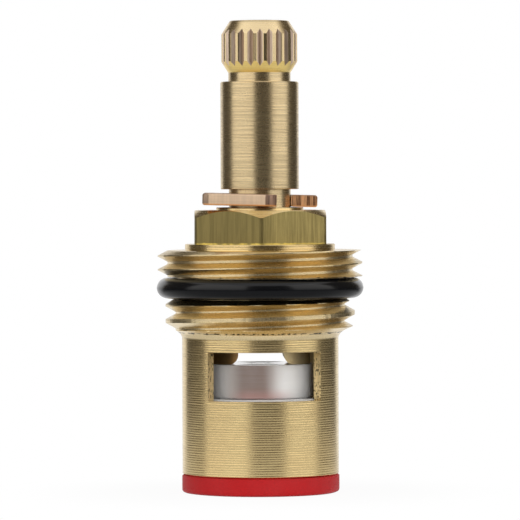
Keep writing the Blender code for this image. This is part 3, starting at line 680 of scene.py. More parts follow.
@effect("Fine scratches", {"Low": 0.38, "High": 0.62}, ["Scratch"])
def fine_scratches(tree, values):
    """Short scratches round the axis, as noise that is stretched along the surface."""
    fine = noise(tree, (260, 260, 16000), 3.0, 0.6)
    broad = noise(tree, (130, 130, 4200))
    return [(fine * 0.6 + broad * 0.4).mapped(values["Low"], values["High"])]


@effect("Upright streaks", {"Low": 0.35, "High": 0.65}, ["Streak"])
def upright_streaks(tree, values):
    """Streaks that a saw or a die leaves along Z, as noise that is stretched upwards."""
    fine = noise(tree, (9000, 9000, 300), 3.0, 0.6)
    broad = noise(tree, (2200, 2200, 90))
    return [(fine * 0.5 + broad * 0.5).mapped(values["Low"], values["High"])]


@effect("Grain", {"Scale": 9000.0}, ["Grain", "Mottle"])
def grain(tree, values):
    """Fine even grain, and a broad mottle for tarnish."""
    scales = Value(add(tree, "ShaderNodeCombineXYZ", dict.fromkeys("XYZ", values["Scale"])))
    fine = noise(tree, scales, 4.0, 0.65)
    broad = noise(tree, (240, 240, 240), 3.0)
    return [fine.mapped(0.3, 0.7), broad.mapped(0.35, 0.65)]


@effect("Height band", {"Height": 0.027, "Reach": 0.0003}, ["Band"])
def height_band(tree, values):
    """1 near a given height on the piece and 0 past its reach, ragged by noise."""
    _, _, z = place(tree).parted()
    jitter = (noise(tree, (2600, 2600, 2600)) - 0.5) * values["Reach"]
    apart = abs(z + jitter - values["Height"])
    return [(1.0 - apart / values["Reach"]).clamped()]


@effect("Studio sectors", {"X": 0.0, "Y": 0.0}, ["Lamps", "Behind"])
def studio_sectors(tree, values):
    """Which part of the studio a direction looks at, from its X and Y: 1 at both front sides, where the
    lamps are, and 1 behind the object."""
    x, y = values["X"], values["Y"]
    flat = largest(off_axis(x, y), 1e-4)
    facing = y / flat
    dark_middle = math.radians(DARK_MIDDLE_DEG)
    between_lamps = (x * math.sin(dark_middle) - y * math.cos(dark_middle)) / flat
    lamps = between_lamps.mapped(0.935, 0.88, smooth=True) * facing.mapped(0.08, -0.08, smooth=True)
    return [lamps, facing.mapped(0.74, 0.84, smooth=True)]


def shader(name, roughness, metallic, **settings):
    """A new material and its tree, with its constants on the shader's own sockets."""
    material = bpy.data.materials.new(name)
    material.use_nodes = True
    inputs = material.node_tree.nodes["Principled BSDF"].inputs
    for title, value in {"Roughness": roughness, "Metallic": metallic, **settings}.items():
        inputs[title.replace("_", " ")].default_value = value
    return material, material.node_tree


def finished(material, tone, relief, depth, **others):
    """A material whose shader takes a tone, a relief through a Bump node, and values for other inputs."""
    inputs = material.node_tree.nodes["Principled BSDF"].inputs
    bump = add(material.node_tree, "ShaderNodeBump", {"Height": relief, "Distance": depth})
    for title, value in {"Base_Color": tone, "Normal": Value(bump, "Normal"), **others}.items():
        wire(inputs[title.replace("_", " ")], value)
    return material


def shaded(base, factor):
    """A colour made darker or lighter by a factor."""
    return tuple(min(1.0, channel * factor) for channel in base)


def turned_brass(name, base, roughness, feed, grooves, scratches, depth, burr_shadow_line=None):
    """Brass as a lathe leaves it: feed grooves, fine scratches round the axis and a little tarnish, and,
    where a height is given, a ragged dark band there that is painted shadow under a burr.
    """
    material, tree = shader(name, roughness, 1.0)
    groove = turning_marks(tree, feed=feed)["Groove"]
    scratch = fine_scratches(tree)["Scratch"]
    grains = grain(tree)
    marks = (groove * grooves + scratch * scratches).clamped()
    worn = marks.between(shaded(base, 1.06), shaded(base, 0.50))
    tone = (grains["Mottle"] * 0.18).between(worn, (base[0] * 0.72, base[1] * 0.60, base[2] * 0.55))
    # A ragged dark band at this height: painted shadow under the burr where the lower thread runs out
    if burr_shadow_line is not None:
        band = height_band(tree, height=burr_shadow_line, reach=0.20 * MM)["Band"]
        patches = noise(tree, (2200, 2200, 2200), 3.0).mapped(0.45, 0.55)
        tone = (band.mapped(0.45, 0.65) * patches).between(tone, (0.05, 0.035, 0.015))
    rough = (scratch + grains["Grain"]).mapped(0.4, 1.6, roughness - 0.05, roughness + 0.07)
    relief = grains["Grain"] * 0.22 - (groove + scratch * 0.5)
    return finished(material, tone, relief, depth, Roughness=rough)


def sawn_brass(name, base):
    """Brass as a cutter leaves it on the windows' sides: dull, streaked upright and torn in dark specks."""
    material, tree = shader(name, 0.42, 0.65)
    streak = upright_streaks(tree)["Streak"]
    torn = noise(tree, (5200, 5200, 2400), 3.0, 0.6).mapped(0.54, 0.60)
    tone = layered(streak.between(shaded(base, 1.15), shaded(base, 0.75)), (torn, (0.07, 0.055, 0.025)))
    return finished(material, tone, streak - torn, 8e-6)


def milled_brass(name, base):
    """Brass of the driver's legs: a fine milled grain, darkened to brown at -X as painted shade, and pale at
    +X as painted light, where it is also duller.
    """
    material, tree = shader(name, 0.42, 0.75)
    fine = grain(tree, scale=12000.0)["Grain"]
    x, _, _ = place(tree).parted()
    # Painted shade on the leg at -X and painted light on the leg at +X
    side = x.mapped(-1.0 * MM, 1.0 * MM, smooth=True)
    brown = fine.between((0.30, 0.17, 0.06), (0.42, 0.26, 0.11))
    tone = side.between(brown, fine.between(base, shaded(base, 1.45)))
    return finished(material, tone, fine, 5e-6, Roughness=side.mapped(0.0, 1.0, 0.34, 0.55))


def broached_brass(name, base, valley_radius):
    """Brass of the splines: smooth lands, and valleys inside a radius that are dull and mauve."""
    material, tree = shader(name, 0.30, 1.0)
    streak = upright_streaks(tree)["Streak"]
    x, y, _ = place(tree).parted()
    valley = off_axis(x, y).mapped(valley_radius + 0.08 * MM, valley_radius)
    land = (streak * 0.4).between(base, shaded(base, 0.6))
    dull = streak.between((0.84, 0.68, 0.55), (0.50, 0.38, 0.29))
    rough = valley.mapped(0.0, 1.0, 0.26, 0.46)
    return finished(material, valley.between(land, dull), streak, 3e-6, Roughness=rough)


def drawn_brass(name, base, burr_colour, burr_height):
    """The bar's own skin on the hexagon's flats: dull, with upright streaks, darker towards -X as painted
    shade, and a bright burr at the foot.
    """
    material, tree = shader(name, 0.45, 1.0)
    streak = upright_streaks(tree, low=0.40, high=0.60)["Streak"]
    grains = grain(tree, scale=14000.0)
    x, _, _ = place(tree).parted()
    skin = (streak * 0.7 + grains["Grain"] * 0.3).between(shaded(base, 0.48), shaded(base, 1.42))
    band = height_band(tree, height=burr_height, reach=0.26 * MM)["Band"]
    patches = noise(tree, (900, 900, 900)).mapped(0.40, 0.62, 0.12, 1.0)
    tone = layered(
        skin,
        (grains["Mottle"] * 0.35, shaded(base, 0.80)),
        # The flats towards -X are darkened: painted shade
        (x.mapped(0.5 * MM, -0.5 * MM, 0.0, 0.68, smooth=True), shaded(base, 0.48)),
        (band.mapped(0.25, 0.6) * patches, burr_colour),
    )
    return finished(material, tone, streak + grains["Grain"] * 0.5, 6e-6)


def pressed_copper(name, base, streak_colour, streak_weight, middle, tilt, half, dark_end):
    """Dull copper plating, streaked upright in a second colour, with a painted orange highlight on its lower
    edge, darker on its upper one, and painted shade past dark_end, where the rounded corner turns away.
    Heights are over the clip's own tilted plane."""
    material, tree = shader(name, 0.38, 0.35)
    streak = upright_streaks(tree, low=0.42, high=0.58)["Streak"]
    scratch = fine_scratches(tree)["Scratch"]
    grains = grain(tree)
    x, _, z = place(tree).parted()
    level = z - middle + x * math.tan(tilt)
    marks = streak * streak_weight
    end_shade = (x + streak * (0.2 * MM)).mapped(dark_end, dark_end - 0.3 * MM)
    tone = layered(
        base,
        (marks, streak_colour),
        (grains["Mottle"] * 0.30, shaded(base, 0.65)),
        (scratch * 0.35, shaded(base, 0.55)),
        # The front arm's far -X end is darkened: painted shade where its rounded corner turns away
        (end_shade * 0.75, (0.16, 0.10, 0.07)),
        (level.mapped(half - 0.14 * MM, half - 0.04 * MM, 0.0, 0.55, smooth=True), (0.42, 0.25, 0.17)),
        # Orange along the lower edge: painted highlight
        (level.mapped(0.24 * MM - half, 0.10 * MM - half, 0.0, 0.85, smooth=True), (0.78, 0.36, 0.13)),
    )
    return finished(material, tone, marks + grains["Grain"] * 0.4, 5e-6)


def moulded_rubber(name, base, roughness, dust, grain_scale, relief, middle=0.0, sheen=0.0):
    """Moulded rubber: even colour with a fine grain, a little pale dust, and a sheen above its middle."""
    material, tree = shader(name, roughness, 0.0, Specular_IOR_Level=0.15, Coat_Roughness=0.15)
    grains = grain(tree, scale=grain_scale)
    even = (grains["Grain"] * 0.5).between(shaded(base, 0.85), shaded(base, 1.15))
    tone = layered(even, (grains["Mottle"] * dust, (0.45, 0.42, 0.42)))
    _, _, z = place(tree).parted()
    above = (z - middle).mapped(-0.06 * MM, 0.34 * MM, 0.0, sheen, smooth=True)
    rough = grains["Grain"].mapped(0.0, 1.0, roughness - 0.05, roughness + 0.08)
    return finished(material, tone, grains["Grain"], relief, Coat_Weight=above, Roughness=rough)


def lapped_ceramic(name, base, painted_tint, red_tint_foot=0.0):
    """Fired and lapped alumina: smooth, with a faint grinding pattern and grey metal marks. The rim is tinted
    mauve from -X to the middle as painted reflection of the brass chamber and painted shade, and tinted red
    near a given height as painted reflection of the red seal."""
    glow = {"Subsurface_Weight": 1.0, "Subsurface_Scale": 2.0 * MM, "Subsurface_Radius": (1.0, 1.0, 1.0)}
    material, tree = shader(name, 0.34, 0.0, Coat_Weight=0.15, Coat_Roughness=0.2, **glow)
    scratch = fine_scratches(tree)["Scratch"]
    grains = grain(tree, scale=5000.0)
    x, _, z = place(tree).parted()
    # Mauve towards -X, fading out at the far left: painted reflection of the brass and painted shade
    left = x.mapped(2.6 * MM, -0.2 * MM, 0.0, painted_tint, smooth=True)
    left = left * x.mapped(-5.2 * MM, -2.0 * MM, smooth=True)
    # Red near the joint: painted reflection of the red seal
    near_foot = z.mapped(red_tint_foot + 1.4 * MM, red_tint_foot, 0.0, 0.5, smooth=True)
    near_middle = abs(x).mapped(4.5 * MM, 1.5 * MM, 0.0, painted_tint, smooth=True)
    tone = layered(
        base,
        (left, (0.27, 0.205, 0.18)),
        (near_foot * near_middle, (0.62, 0.30, 0.27)),
        (scratch * 0.10, (0.60, 0.58, 0.57)),
        (grains["Mottle"] * 0.12, (0.66, 0.58, 0.56)),
    )
    return finished(material, tone, grains["Grain"], 1.5e-6)


def polished_ceramic(name, base):
    """The lapped faces that seal: a hard polish over the white body, with a faint grinding pattern."""
    material, tree = shader(name, 0.25, 0.0, Coat_Weight=1.0, Coat_IOR=2.4, Coat_Roughness=0.06)
    grains = grain(tree, scale=5000.0)
    tone = (grains["Mottle"] * 0.12).between(base, (0.70, 0.66, 0.65))
    return finished(material, tone, grains["Grain"], 0.4e-6)


def moulded_acetal(name, base):
    """Moulded plastic with a fine eroded grain."""
    material, tree = shader(name, 0.42, 0.0)
    grains = grain(tree, scale=7000.0)
    tone = (grains["Mottle"] * 0.3).between(base, shaded(base, 0.9))
    return finished(material, tone, grains["Grain"], 4e-6)


class CARTRIDGE_OT_body(bpy.types.Operator):
    """Make the turned brass body with its threads, hexagon and windows"""

    bl_idname = "cartridge.body"
    bl_label = "Valve body"

    def execute(self, context):
        sizes = context.scene.cartridge_body
        discs = context.scene.cartridge_discs
        jamb = math.degrees(sizes.window_half_angle)
        centres = [centre + math.degrees(sizes.window_turn) for centre in WINDOW_CENTRES_DEG]
        marks = [
            *either_side(centres, jamb),
            *either_side((0, 180), RIB_HALF_DEG, RIB_HALF_DEG + RIB_SIDE_DEG),
            *key_marks(sizes.skirt_radius - sizes.skirt_wall, discs.key_width + KEY_ROOM),
            *[math.degrees(sizes.hexagon_turn) + corner for corner in range(30, 360, 60)],
        ]
        degrees = azimuths(288, *marks)
        levels = np.linspace(sizes.window_head, sizes.window_sill, WINDOW_ROWS + 1)
        near = np.argsort(np.abs(levels - sizes.keyway_top))[:2]
        levels[near.min()] = sizes.keyway_top + 0.01 * MM
        levels[near.max()] = sizes.keyway_top - 0.01 * MM
        above, below = self.outside(sizes, degrees, levels)
        outer, outer_finishes = stacked(above + below, degrees)
        inner = self.inside(sizes, discs, degrees, levels)
        points = np.concatenate((outer, inner))
        finishes = np.append(outer_finishes, np.full(len(inner), SHADED_BORE))
        window_start = sum(len(part.finishes) for part in above) - 1
        outer_rows = (window_start, window_start + WINDOW_ROWS)
        inner_rows = (len(outer) + SKIRT_ROWS, len(outer) + SKIRT_ROWS + WINDOW_ROWS)
        tunnels = []
        for centre in centres:
            ends = columns_at(degrees, centre - jamb, centre + jamb)
            self.splay(points[inner_rows[0]:inner_rows[1] + 1], degrees - centre, jamb, sizes.jamb_splay)
            self.rag(points[outer_rows[0]:outer_rows[1] + 1], degrees, ends, sizes.burr)
            tunnels.append((outer_rows, inner_rows, ends))
        mesh = surface("body_surface", points, True, finishes, tunnels, 5, SAWN)
        piece = joined("turned_valve_body", [mesh])
        hand_over(piece, "valve_body", "body_brass", "cartridge_body", *self.materials(context.scene))
        return {"FINISHED"}

    def materials(self, scene):
        """The body's materials, in the order of its finishes."""
        sizes = scene.cartridge_body
        base = scene.cartridge_finishes.body_brass
        drawn = scene.cartridge_finishes.drawn_brass
        cut = scene.cartridge_finishes.thread_brass
        return [
            turned_brass("turned_body_brass", base, 0.215, 0.26 * MM, 0.26, 0.15, 6e-6),
            drawn_brass("drawn_hexagon_brass", drawn, (0.86, 0.66, 0.16), sizes.hexagon_foot),
            turned_brass("cut_thread_brass", cut, 0.26, 0.09 * MM, 0.10, 0.22, 2.5e-6, sizes.burr_shadow_line),
            sawn_brass("sawn_window_brass", base),
            # The chamber's inside is the body brass darkened to 0.28: painted shade for the dark cavity
            # behind the windows
            turned_brass("chamber_brass_painted_shade", shaded(base, 0.28), 0.34, 0.30 * MM, 0.20, 0.20, 6e-6),
        ]

    def outside(self, sizes, degrees, levels):
        """Rows down the outside, in two lists: boss, hexagon, collar, both threads, their groove and the
        lintel, then the windows' levels and the skirt below them. The hexagon's radius is its apothem over
        cos(azimuth from the nearest flat's middle), and its chamfer is a cone, which the flats meet at a
        height that changes with the azimuth."""
        count = len(degrees)
        foot, top = low("valve_body"), high("valve_body")
        apothem = sizes.hexagon_flats / 2
        from_flat = folded(degrees - math.degrees(sizes.hexagon_turn), 60.0)
        corner_radius = apothem / math.cos(math.radians(30.0)) - sizes.hexagon_corner_cut
        flat_radius = np.minimum(apothem / np.cos(np.radians(from_flat)), corner_radius)
        drop = (flat_radius - sizes.hexagon_top_radius) * math.tan(sizes.hexagon_chamfer)
        ragged_radius = flat_radius + 0.4 * sizes.burr * ripple(degrees / 360.0, 5, 150, 20)
        boss_edge = 0.08 * MM
        shoulder = sizes.hexagon_foot - 0.01 * MM
        collar_edge = 0.06 * MM
        upper = rows_between(
            count,
            Corner(sizes.bore_radius + 0.1 * MM, top),
            Corner(sizes.boss_radius - boss_edge, top),
            Corner(sizes.boss_radius, top - boss_edge, 2),
            Corner(sizes.boss_radius, sizes.hexagon_top, 3),
            Corner(sizes.hexagon_top_radius, sizes.hexagon_top, 5),
            Corner(flat_radius, sizes.hexagon_top - drop, 10, FLATS),
            Corner(ragged_radius, sizes.hexagon_foot),
            Corner(sizes.collar_radius - 0.9 * MM, shoulder, 2),
            Corner(sizes.collar_radius - collar_edge, shoulder),
            Corner(sizes.collar_radius, shoulder - collar_edge, 3),
            Corner(sizes.collar_radius, sizes.collar_foot + 0.05 * MM),
            Corner(sizes.collar_radius + 0.12 * MM, sizes.collar_foot),
        )
        upper_thread = thread_rows(
            sizes.collar_foot, sizes.groove_top, 0.055 * MM,
            Thread(
                sizes.upper_thread_pitch, sizes.upper_thread_crest, sizes.upper_thread_radius,
                sizes.upper_thread_root, 0.13 * MM, 0.26 * MM,
            ),
            degrees, sizes.burr, 7, THREADS,
        )
        upper_thread.heights[-1] += 1.6 * sizes.burr * np.abs(ripple(degrees / 360.0, 41, 140, 30))
        groove = rows_between(
            count,
            Corner(sizes.groove_radius, sizes.groove_top, 3, THREADS),
            Corner(sizes.groove_radius, sizes.groove_foot, 1, THREADS),
        )
        lintel = rows_between(
            count,
            Corner(sizes.skirt_radius, sizes.run_out - 0.05 * MM, 3),
            Corner(sizes.skirt_radius, sizes.window_head),
        )
        window_heights = np.repeat(levels[1:-1, None], count, axis=1)
        window_radii = np.full_like(window_heights, sizes.skirt_radius)
        window = Rows(window_radii, window_heights, np.full(len(window_heights), TURNED))
        foot_edge = 0.15 * MM
        skirt = rows_between(
            count,
            Corner(sizes.skirt_radius, sizes.window_sill, 8),
            Corner(sizes.skirt_radius, foot + foot_edge),
            Corner(sizes.skirt_radius - foot_edge, foot, 2),
            Corner(sizes.skirt_radius - sizes.skirt_wall, foot, 0),
        )
        return [upper, upper_thread, groove, self.lower_thread(sizes, degrees), lintel], [window, skirt]

    def lower_thread(self, sizes, degrees):
        """The lower thread, no wider than the curve of its run-out below and the chamfer of its last turn."""
        thread = Thread(
            sizes.lower_thread_pitch, sizes.lower_thread_crest, sizes.lower_thread_radius,
            sizes.lower_thread_root, 0.42 * MM, 0.18 * MM,
        )
        top, foot = sizes.groove_foot, sizes.run_out
        rows = thread_rows(top, foot, 0.06 * MM, thread, degrees, sizes.burr, 9, THREADS)
        rise, spread = np.array(RUN_OUT_CURVE).T
        curve_heights = sizes.run_out + (sizes.lower_thread_foot - 0.18 * MM - sizes.run_out) * rise
        curve_radii = sizes.skirt_radius + (sizes.lower_thread_radius - sizes.skirt_radius) * spread
        limit_heights = np.append(curve_heights, [sizes.groove_foot - 0.62 * MM, sizes.groove_foot])
        limit_radii = np.append(curve_radii, [sizes.lower_thread_radius + 0.03 * MM, 9.42 * MM])
        limit = np.interp(rows.heights, limit_heights, limit_radii)
        return rows._replace(radii=np.minimum(rows.radii, limit))

    def inside(self, sizes, discs, degrees, levels):
        """Points up the inside: keyed skirt, windows' heights, plain chamber, stop ribs, ceiling and bore."""
        chamber = sizes.skirt_radius - sizes.skirt_wall
        skirt_levels = np.linspace(low("valve_body"), sizes.window_sill, SKIRT_ROWS + 1)[:-1]
        rising = np.append(skirt_levels, levels[::-1])
        in_key = rising < sizes.keyway_top
        key_radius = chamber + discs.ear_reach
        keyed = keyed_points(chamber, key_radius, discs.key_width + KEY_ROOM, rising[in_key], degrees)
        plain = ring_points(chamber, rising[~in_key][:, None], degrees)
        on_rib = np.abs(folded(degrees, 180.0)) < RIB_HALF_DEG + RIB_SIDE_DEG / 2
        ribbed = np.where(on_rib, chamber - sizes.rib_reach, chamber)
        upper = rows_between(
            len(degrees),
            Corner(chamber, sizes.window_head + 0.3 * MM),
            Corner(chamber, sizes.rib_foot - 0.01 * MM),
            Corner(ribbed, sizes.rib_foot, 4),
            Corner(ribbed, sizes.ceiling, 2),
            Corner(sizes.bore_radius, sizes.ceiling, 2),
            Corner(sizes.bore_radius, high("valve_body") - 0.1 * MM),
        )
        return np.concatenate((keyed, plain, ring_points(upper.radii, upper.heights, degrees)))

    def splay(self, points, from_middle, jamb, splay):
        """Turns the inner points near a window's jambs away from its middle, by less the further they lie."""
        local = folded(from_middle, 360.0)
        near = np.clip(1 - np.abs(np.abs(local) - jamb) / JAMB_BAND_DEG, 0, 1)
        turn = np.sign(local) * splay * near
        x, y = points[..., 0].copy(), points[..., 1].copy()
        points[..., 0] = x * np.cos(turn) - y * np.sin(turn)
        points[..., 1] = x * np.sin(turn) + y * np.cos(turn)

    def rag(self, points, degrees, ends, burr):
        """Roughens the outer edge of a window's jambs by up to a burr, sideways."""
        down = np.linspace(0, 1, len(points))
        for column, seed in zip(ends, (21, 22)):
            turn = math.radians(degrees[column])
            sideways = np.array((-math.sin(turn), math.cos(turn), 0.0))
            shift = burr * 0.9 * ripple(down * 0.5, seed + column, 60, 6)
            points[:, column] += shift[:, None] * sideways


class CARTRIDGE_OT_spindle(bpy.types.Operator):
    """Make the turned brass spindle with its splined head and slotted driver"""

    bl_idname = "cartridge.spindle"
    bl_label = "Spindle"

    def execute(self, context):
        sizes = context.scene.cartridge_spindle
        driver = [*self.legs(sizes), *self.tongues(sizes)]
        for mesh in driver:
            mesh.transform(Matrix.Rotation(sizes.driver_turn, 4, "Z"))
        turned = self.turned(sizes, context.scene.cartridge_rubber.stem_ring_section)
        piece = joined("splined_spindle", [turned, *driver])
        base = context.scene.cartridge_finishes.spindle_brass
        materials = [
            turned_brass("turned_spindle_brass", base, 0.27, 0.17 * MM, 0.16, 0.40, 3e-6),
            broached_brass("broached_spline_brass", base, sizes.spline_radius - 0.12 * MM),
            milled_brass("milled_driver_brass", base),
            # The tip's cone and the lower cone are lighter, yellower copies of the spindle brass: painted
            # light
            turned_brass("tip_brass_painted_light", shaded(base, 1.18), 0.25, 0.20 * MM, 0.10, 0.20, 2e-6),
            turned_brass("cone_brass_painted_light", (0.98, 0.71, 0.25), 0.30, 0.20 * MM, 0.10, 0.15, 2e-6),
        ]
        hand_over(piece, "spindle", "spindle_brass", "turning_group", *materials)
        return {"FINISHED"}

    def turned(self, sizes, ring_section):
        """The turned part. The splined head's radius rises in straight flanks from each valley to its land,
        and both cones cut it at a height that changes with that radius."""
        pitch = 360.0 / sizes.teeth
        flank = pitch * (1 - sizes.land_share) / 2
        rising = [flank * third / 3 for third in range(1, 4)]
        parts_of_tooth = [0.0, *rising, pitch / 2, *[pitch - part for part in rising]]
        first = math.degrees(sizes.first_valley)
        teeth = [first + tooth * pitch + part for tooth in range(sizes.teeth) for part in parts_of_tooth]
        floor_edges = (RELIEF_FROM_DEG + RELIEF_SIDE_DEG, RELIEF_TO_DEG - RELIEF_SIDE_DEG)
        relief_edges = (RELIEF_FROM_DEG, *floor_edges, RELIEF_TO_DEG)
        reliefs = [edge + side for side in (0, 180) for edge in relief_edges]
        degrees = azimuths(1, *teeth, *reliefs)
        count = len(degrees)
        rise = np.clip(np.abs(folded(degrees - first, pitch)) / flank, 0, 1)
        tooth_radius = sizes.spline_radius - sizes.spline_depth * (1 - rise)
        upper_slope = (sizes.tip - sizes.spline_top) / (sizes.spline_radius - sizes.tip_radius)
        lower_slope = (sizes.spline_foot - sizes.neck_top) / (sizes.spline_radius - sizes.neck_radius)
        upper_knee = sizes.spline_top + (sizes.spline_radius - tooth_radius) * upper_slope
        lower_knee = sizes.spline_foot - (sizes.spline_radius - tooth_radius) * lower_slope
        relief_start = RELIEF_FROM_DEG + RELIEF_SIDE_DEG / 2
        relief_width = RELIEF_TO_DEG - RELIEF_FROM_DEG - RELIEF_SIDE_DEG
        in_relief = np.mod(degrees - relief_start, 180.0) < relief_width
        flange = np.where(in_relief, sizes.relief_radius, sizes.flange_radius)
        top = high("spindle")
        hole_foot = top - sizes.hole_depth
        thread_foot = top - 4.4 * MM
        hole = rows_between(
            count,
            Corner(0.2 * MM, hole_foot - 0.8 * MM, 2),
            Corner(sizes.hole_radius, hole_foot, 2),
            Corner(sizes.hole_radius, thread_foot - 0.1 * MM),
        )
        screw = Thread(sizes.hole_pitch, top, sizes.hole_root, sizes.hole_radius, 0.1 * MM, 0.1 * MM)
        sunk = thread_rows(top - 0.4 * MM, thread_foot, 0.1 * MM, screw, degrees)
        rising_thread = Rows(sunk.radii[::-1], sunk.heights[::-1], sunk.finishes)
        barrel_edge = 0.12 * MM
        barrel_foot_edge = 0.08 * MM
        head = rows_between(
            count,
            Corner(sizes.hole_root, top - 0.35 * MM),
            Corner(sizes.hole_root + 0.2 * MM, top - 0.12 * MM),
            Corner(sizes.hole_root + 0.3 * MM, top, 2),
            Corner(sizes.tip_radius - 0.34 * MM, top),
            Corner(sizes.tip_radius - 0.14 * MM, top - 0.05 * MM),
            Corner(sizes.tip_radius, sizes.tip, 4, TIP_PAINTED_LIGHT),
            Corner(tooth_radius, upper_knee, 8, SPLINES),
            Corner(tooth_radius, lower_knee, 4, CONE_PAINTED_LIGHT),
            Corner(sizes.neck_radius, sizes.neck_top, 3),
            Corner(sizes.neck_radius, sizes.barrel_top),
            Corner(sizes.radius - barrel_edge, sizes.barrel_top),
            Corner(sizes.radius, sizes.barrel_top - barrel_edge, 12),
            Corner(sizes.radius, sizes.barrel_foot + barrel_foot_edge),
            Corner(sizes.radius - barrel_foot_edge, sizes.barrel_foot),
            Corner(sizes.groove_radius, sizes.barrel_foot, 4),
            Corner(sizes.groove_radius, sizes.groove_foot),
            Corner(sizes.radius, sizes.groove_foot),
        )
        stem = rows_between(count, *self.stem_corners(sizes, flange, ring_section))
        points, finishes = stacked([hole, rising_thread, head, stem], degrees)
        return surface("spindle_surface", points, finishes=finishes)

    def stem_corners(self, sizes, flange, ring_section):
        """Corners down the stem: both ring grooves, the stop flange and the web over the slot."""
        half = ring_section / 2 + FIT_GAP
        corners = []
        for node in ("spindle_o_ring_upper", "spindle_o_ring_lower"):
            middle = (low(node) + high(node)) / 2
            floor = reach(node) - ring_section - FIT_GAP
            corners += [(sizes.radius, middle + half), (floor, middle + half)]
            corners += [(floor, middle - half), (sizes.radius, middle - half)]
        web = sizes.driver_foot + sizes.slot_height
        corners += [(sizes.radius, sizes.flange_top), (flange, sizes.flange_top), (flange, sizes.flange_foot)]
        corners += [(sizes.driver_radius, sizes.flange_foot), (sizes.driver_radius, web)]
        return [*[Corner(*corner, 2) for corner in corners], Corner(0.2 * MM, web)]

    def legs(self, sizes):
        """Two legs, each a section in X and Z carried along Y, cut off by the driver's cylinder."""
        half = sizes.slot_width / 2
        corner = sizes.leg_corner
        web = sizes.driver_foot + sizes.slot_height + 0.02 * MM
        turns = np.radians(np.linspace(90, 0, 9))
        reach_y = math.sqrt(sizes.driver_radius ** 2 - half ** 2)
        y = reach_y * np.sin(np.radians(np.linspace(-90, 90, 49)))
        outer = np.sqrt(sizes.driver_radius ** 2 - y ** 2)
        far_out = [2 * sizes.driver_radius] * 8
        x = np.concatenate(([half], half + corner - corner * np.sin(turns), far_out))
        rounded_z = sizes.driver_foot + corner - corner * np.cos(turns)
        z = np.concatenate(([web], rounded_z, np.linspace(sizes.driver_foot, web, 8)))
        section_x = np.minimum(x[None, :], outer[:, None])
        past_corner = np.maximum(half + corner - outer, 0.0)
        lowest = sizes.driver_foot + corner - np.sqrt(np.maximum(corner ** 2 - past_corner ** 2, 0.0))
        section_z = np.maximum(z[None, :], lowest[:, None])
        meshes = []
        for side in (1, -1):
            points = np.stack(np.broadcast_arrays(section_x * side, y[:, None], section_z), axis=-1)
            if side > 0:
                points = points[:, ::-1]
            meshes.append(surface("leg_surface", points, finishes=np.full(len(y), MILLED)))
        return meshes

    def tongues(self, sizes):
        """Two tongues below the legs, each a section with a round outer face, raised along Z."""
        half = sizes.tongue_width / 2
        outer = sizes.driver_radius - 0.15 * MM
        edge = math.asin(half / outer)
        arc = np.linspace(-edge, edge, 9)
        x = np.concatenate((outer * np.cos(arc), [sizes.tongue_floor] * 2))
        y = np.concatenate((outer * np.sin(arc), [half, -half]))
        foot = low("spindle")
        heights = np.array((sizes.driver_foot + 0.5 * MM, sizes.driver_foot, foot + 0.12 * MM, foot))[:, None]
        inset = np.array((1.0, 1.0, 1.0, 0.93))[:, None]
        section_x = x.mean() + (x - x.mean()) * inset
        section_y = y * inset
        meshes = []
        for side in (1, -1):
            points = np.stack(np.broadcast_arrays(section_x * side, section_y * side, heights), axis=-1)
            meshes.append(surface("tongue_surface", points, finishes=np.full(len(heights), MILLED)))
        return meshes


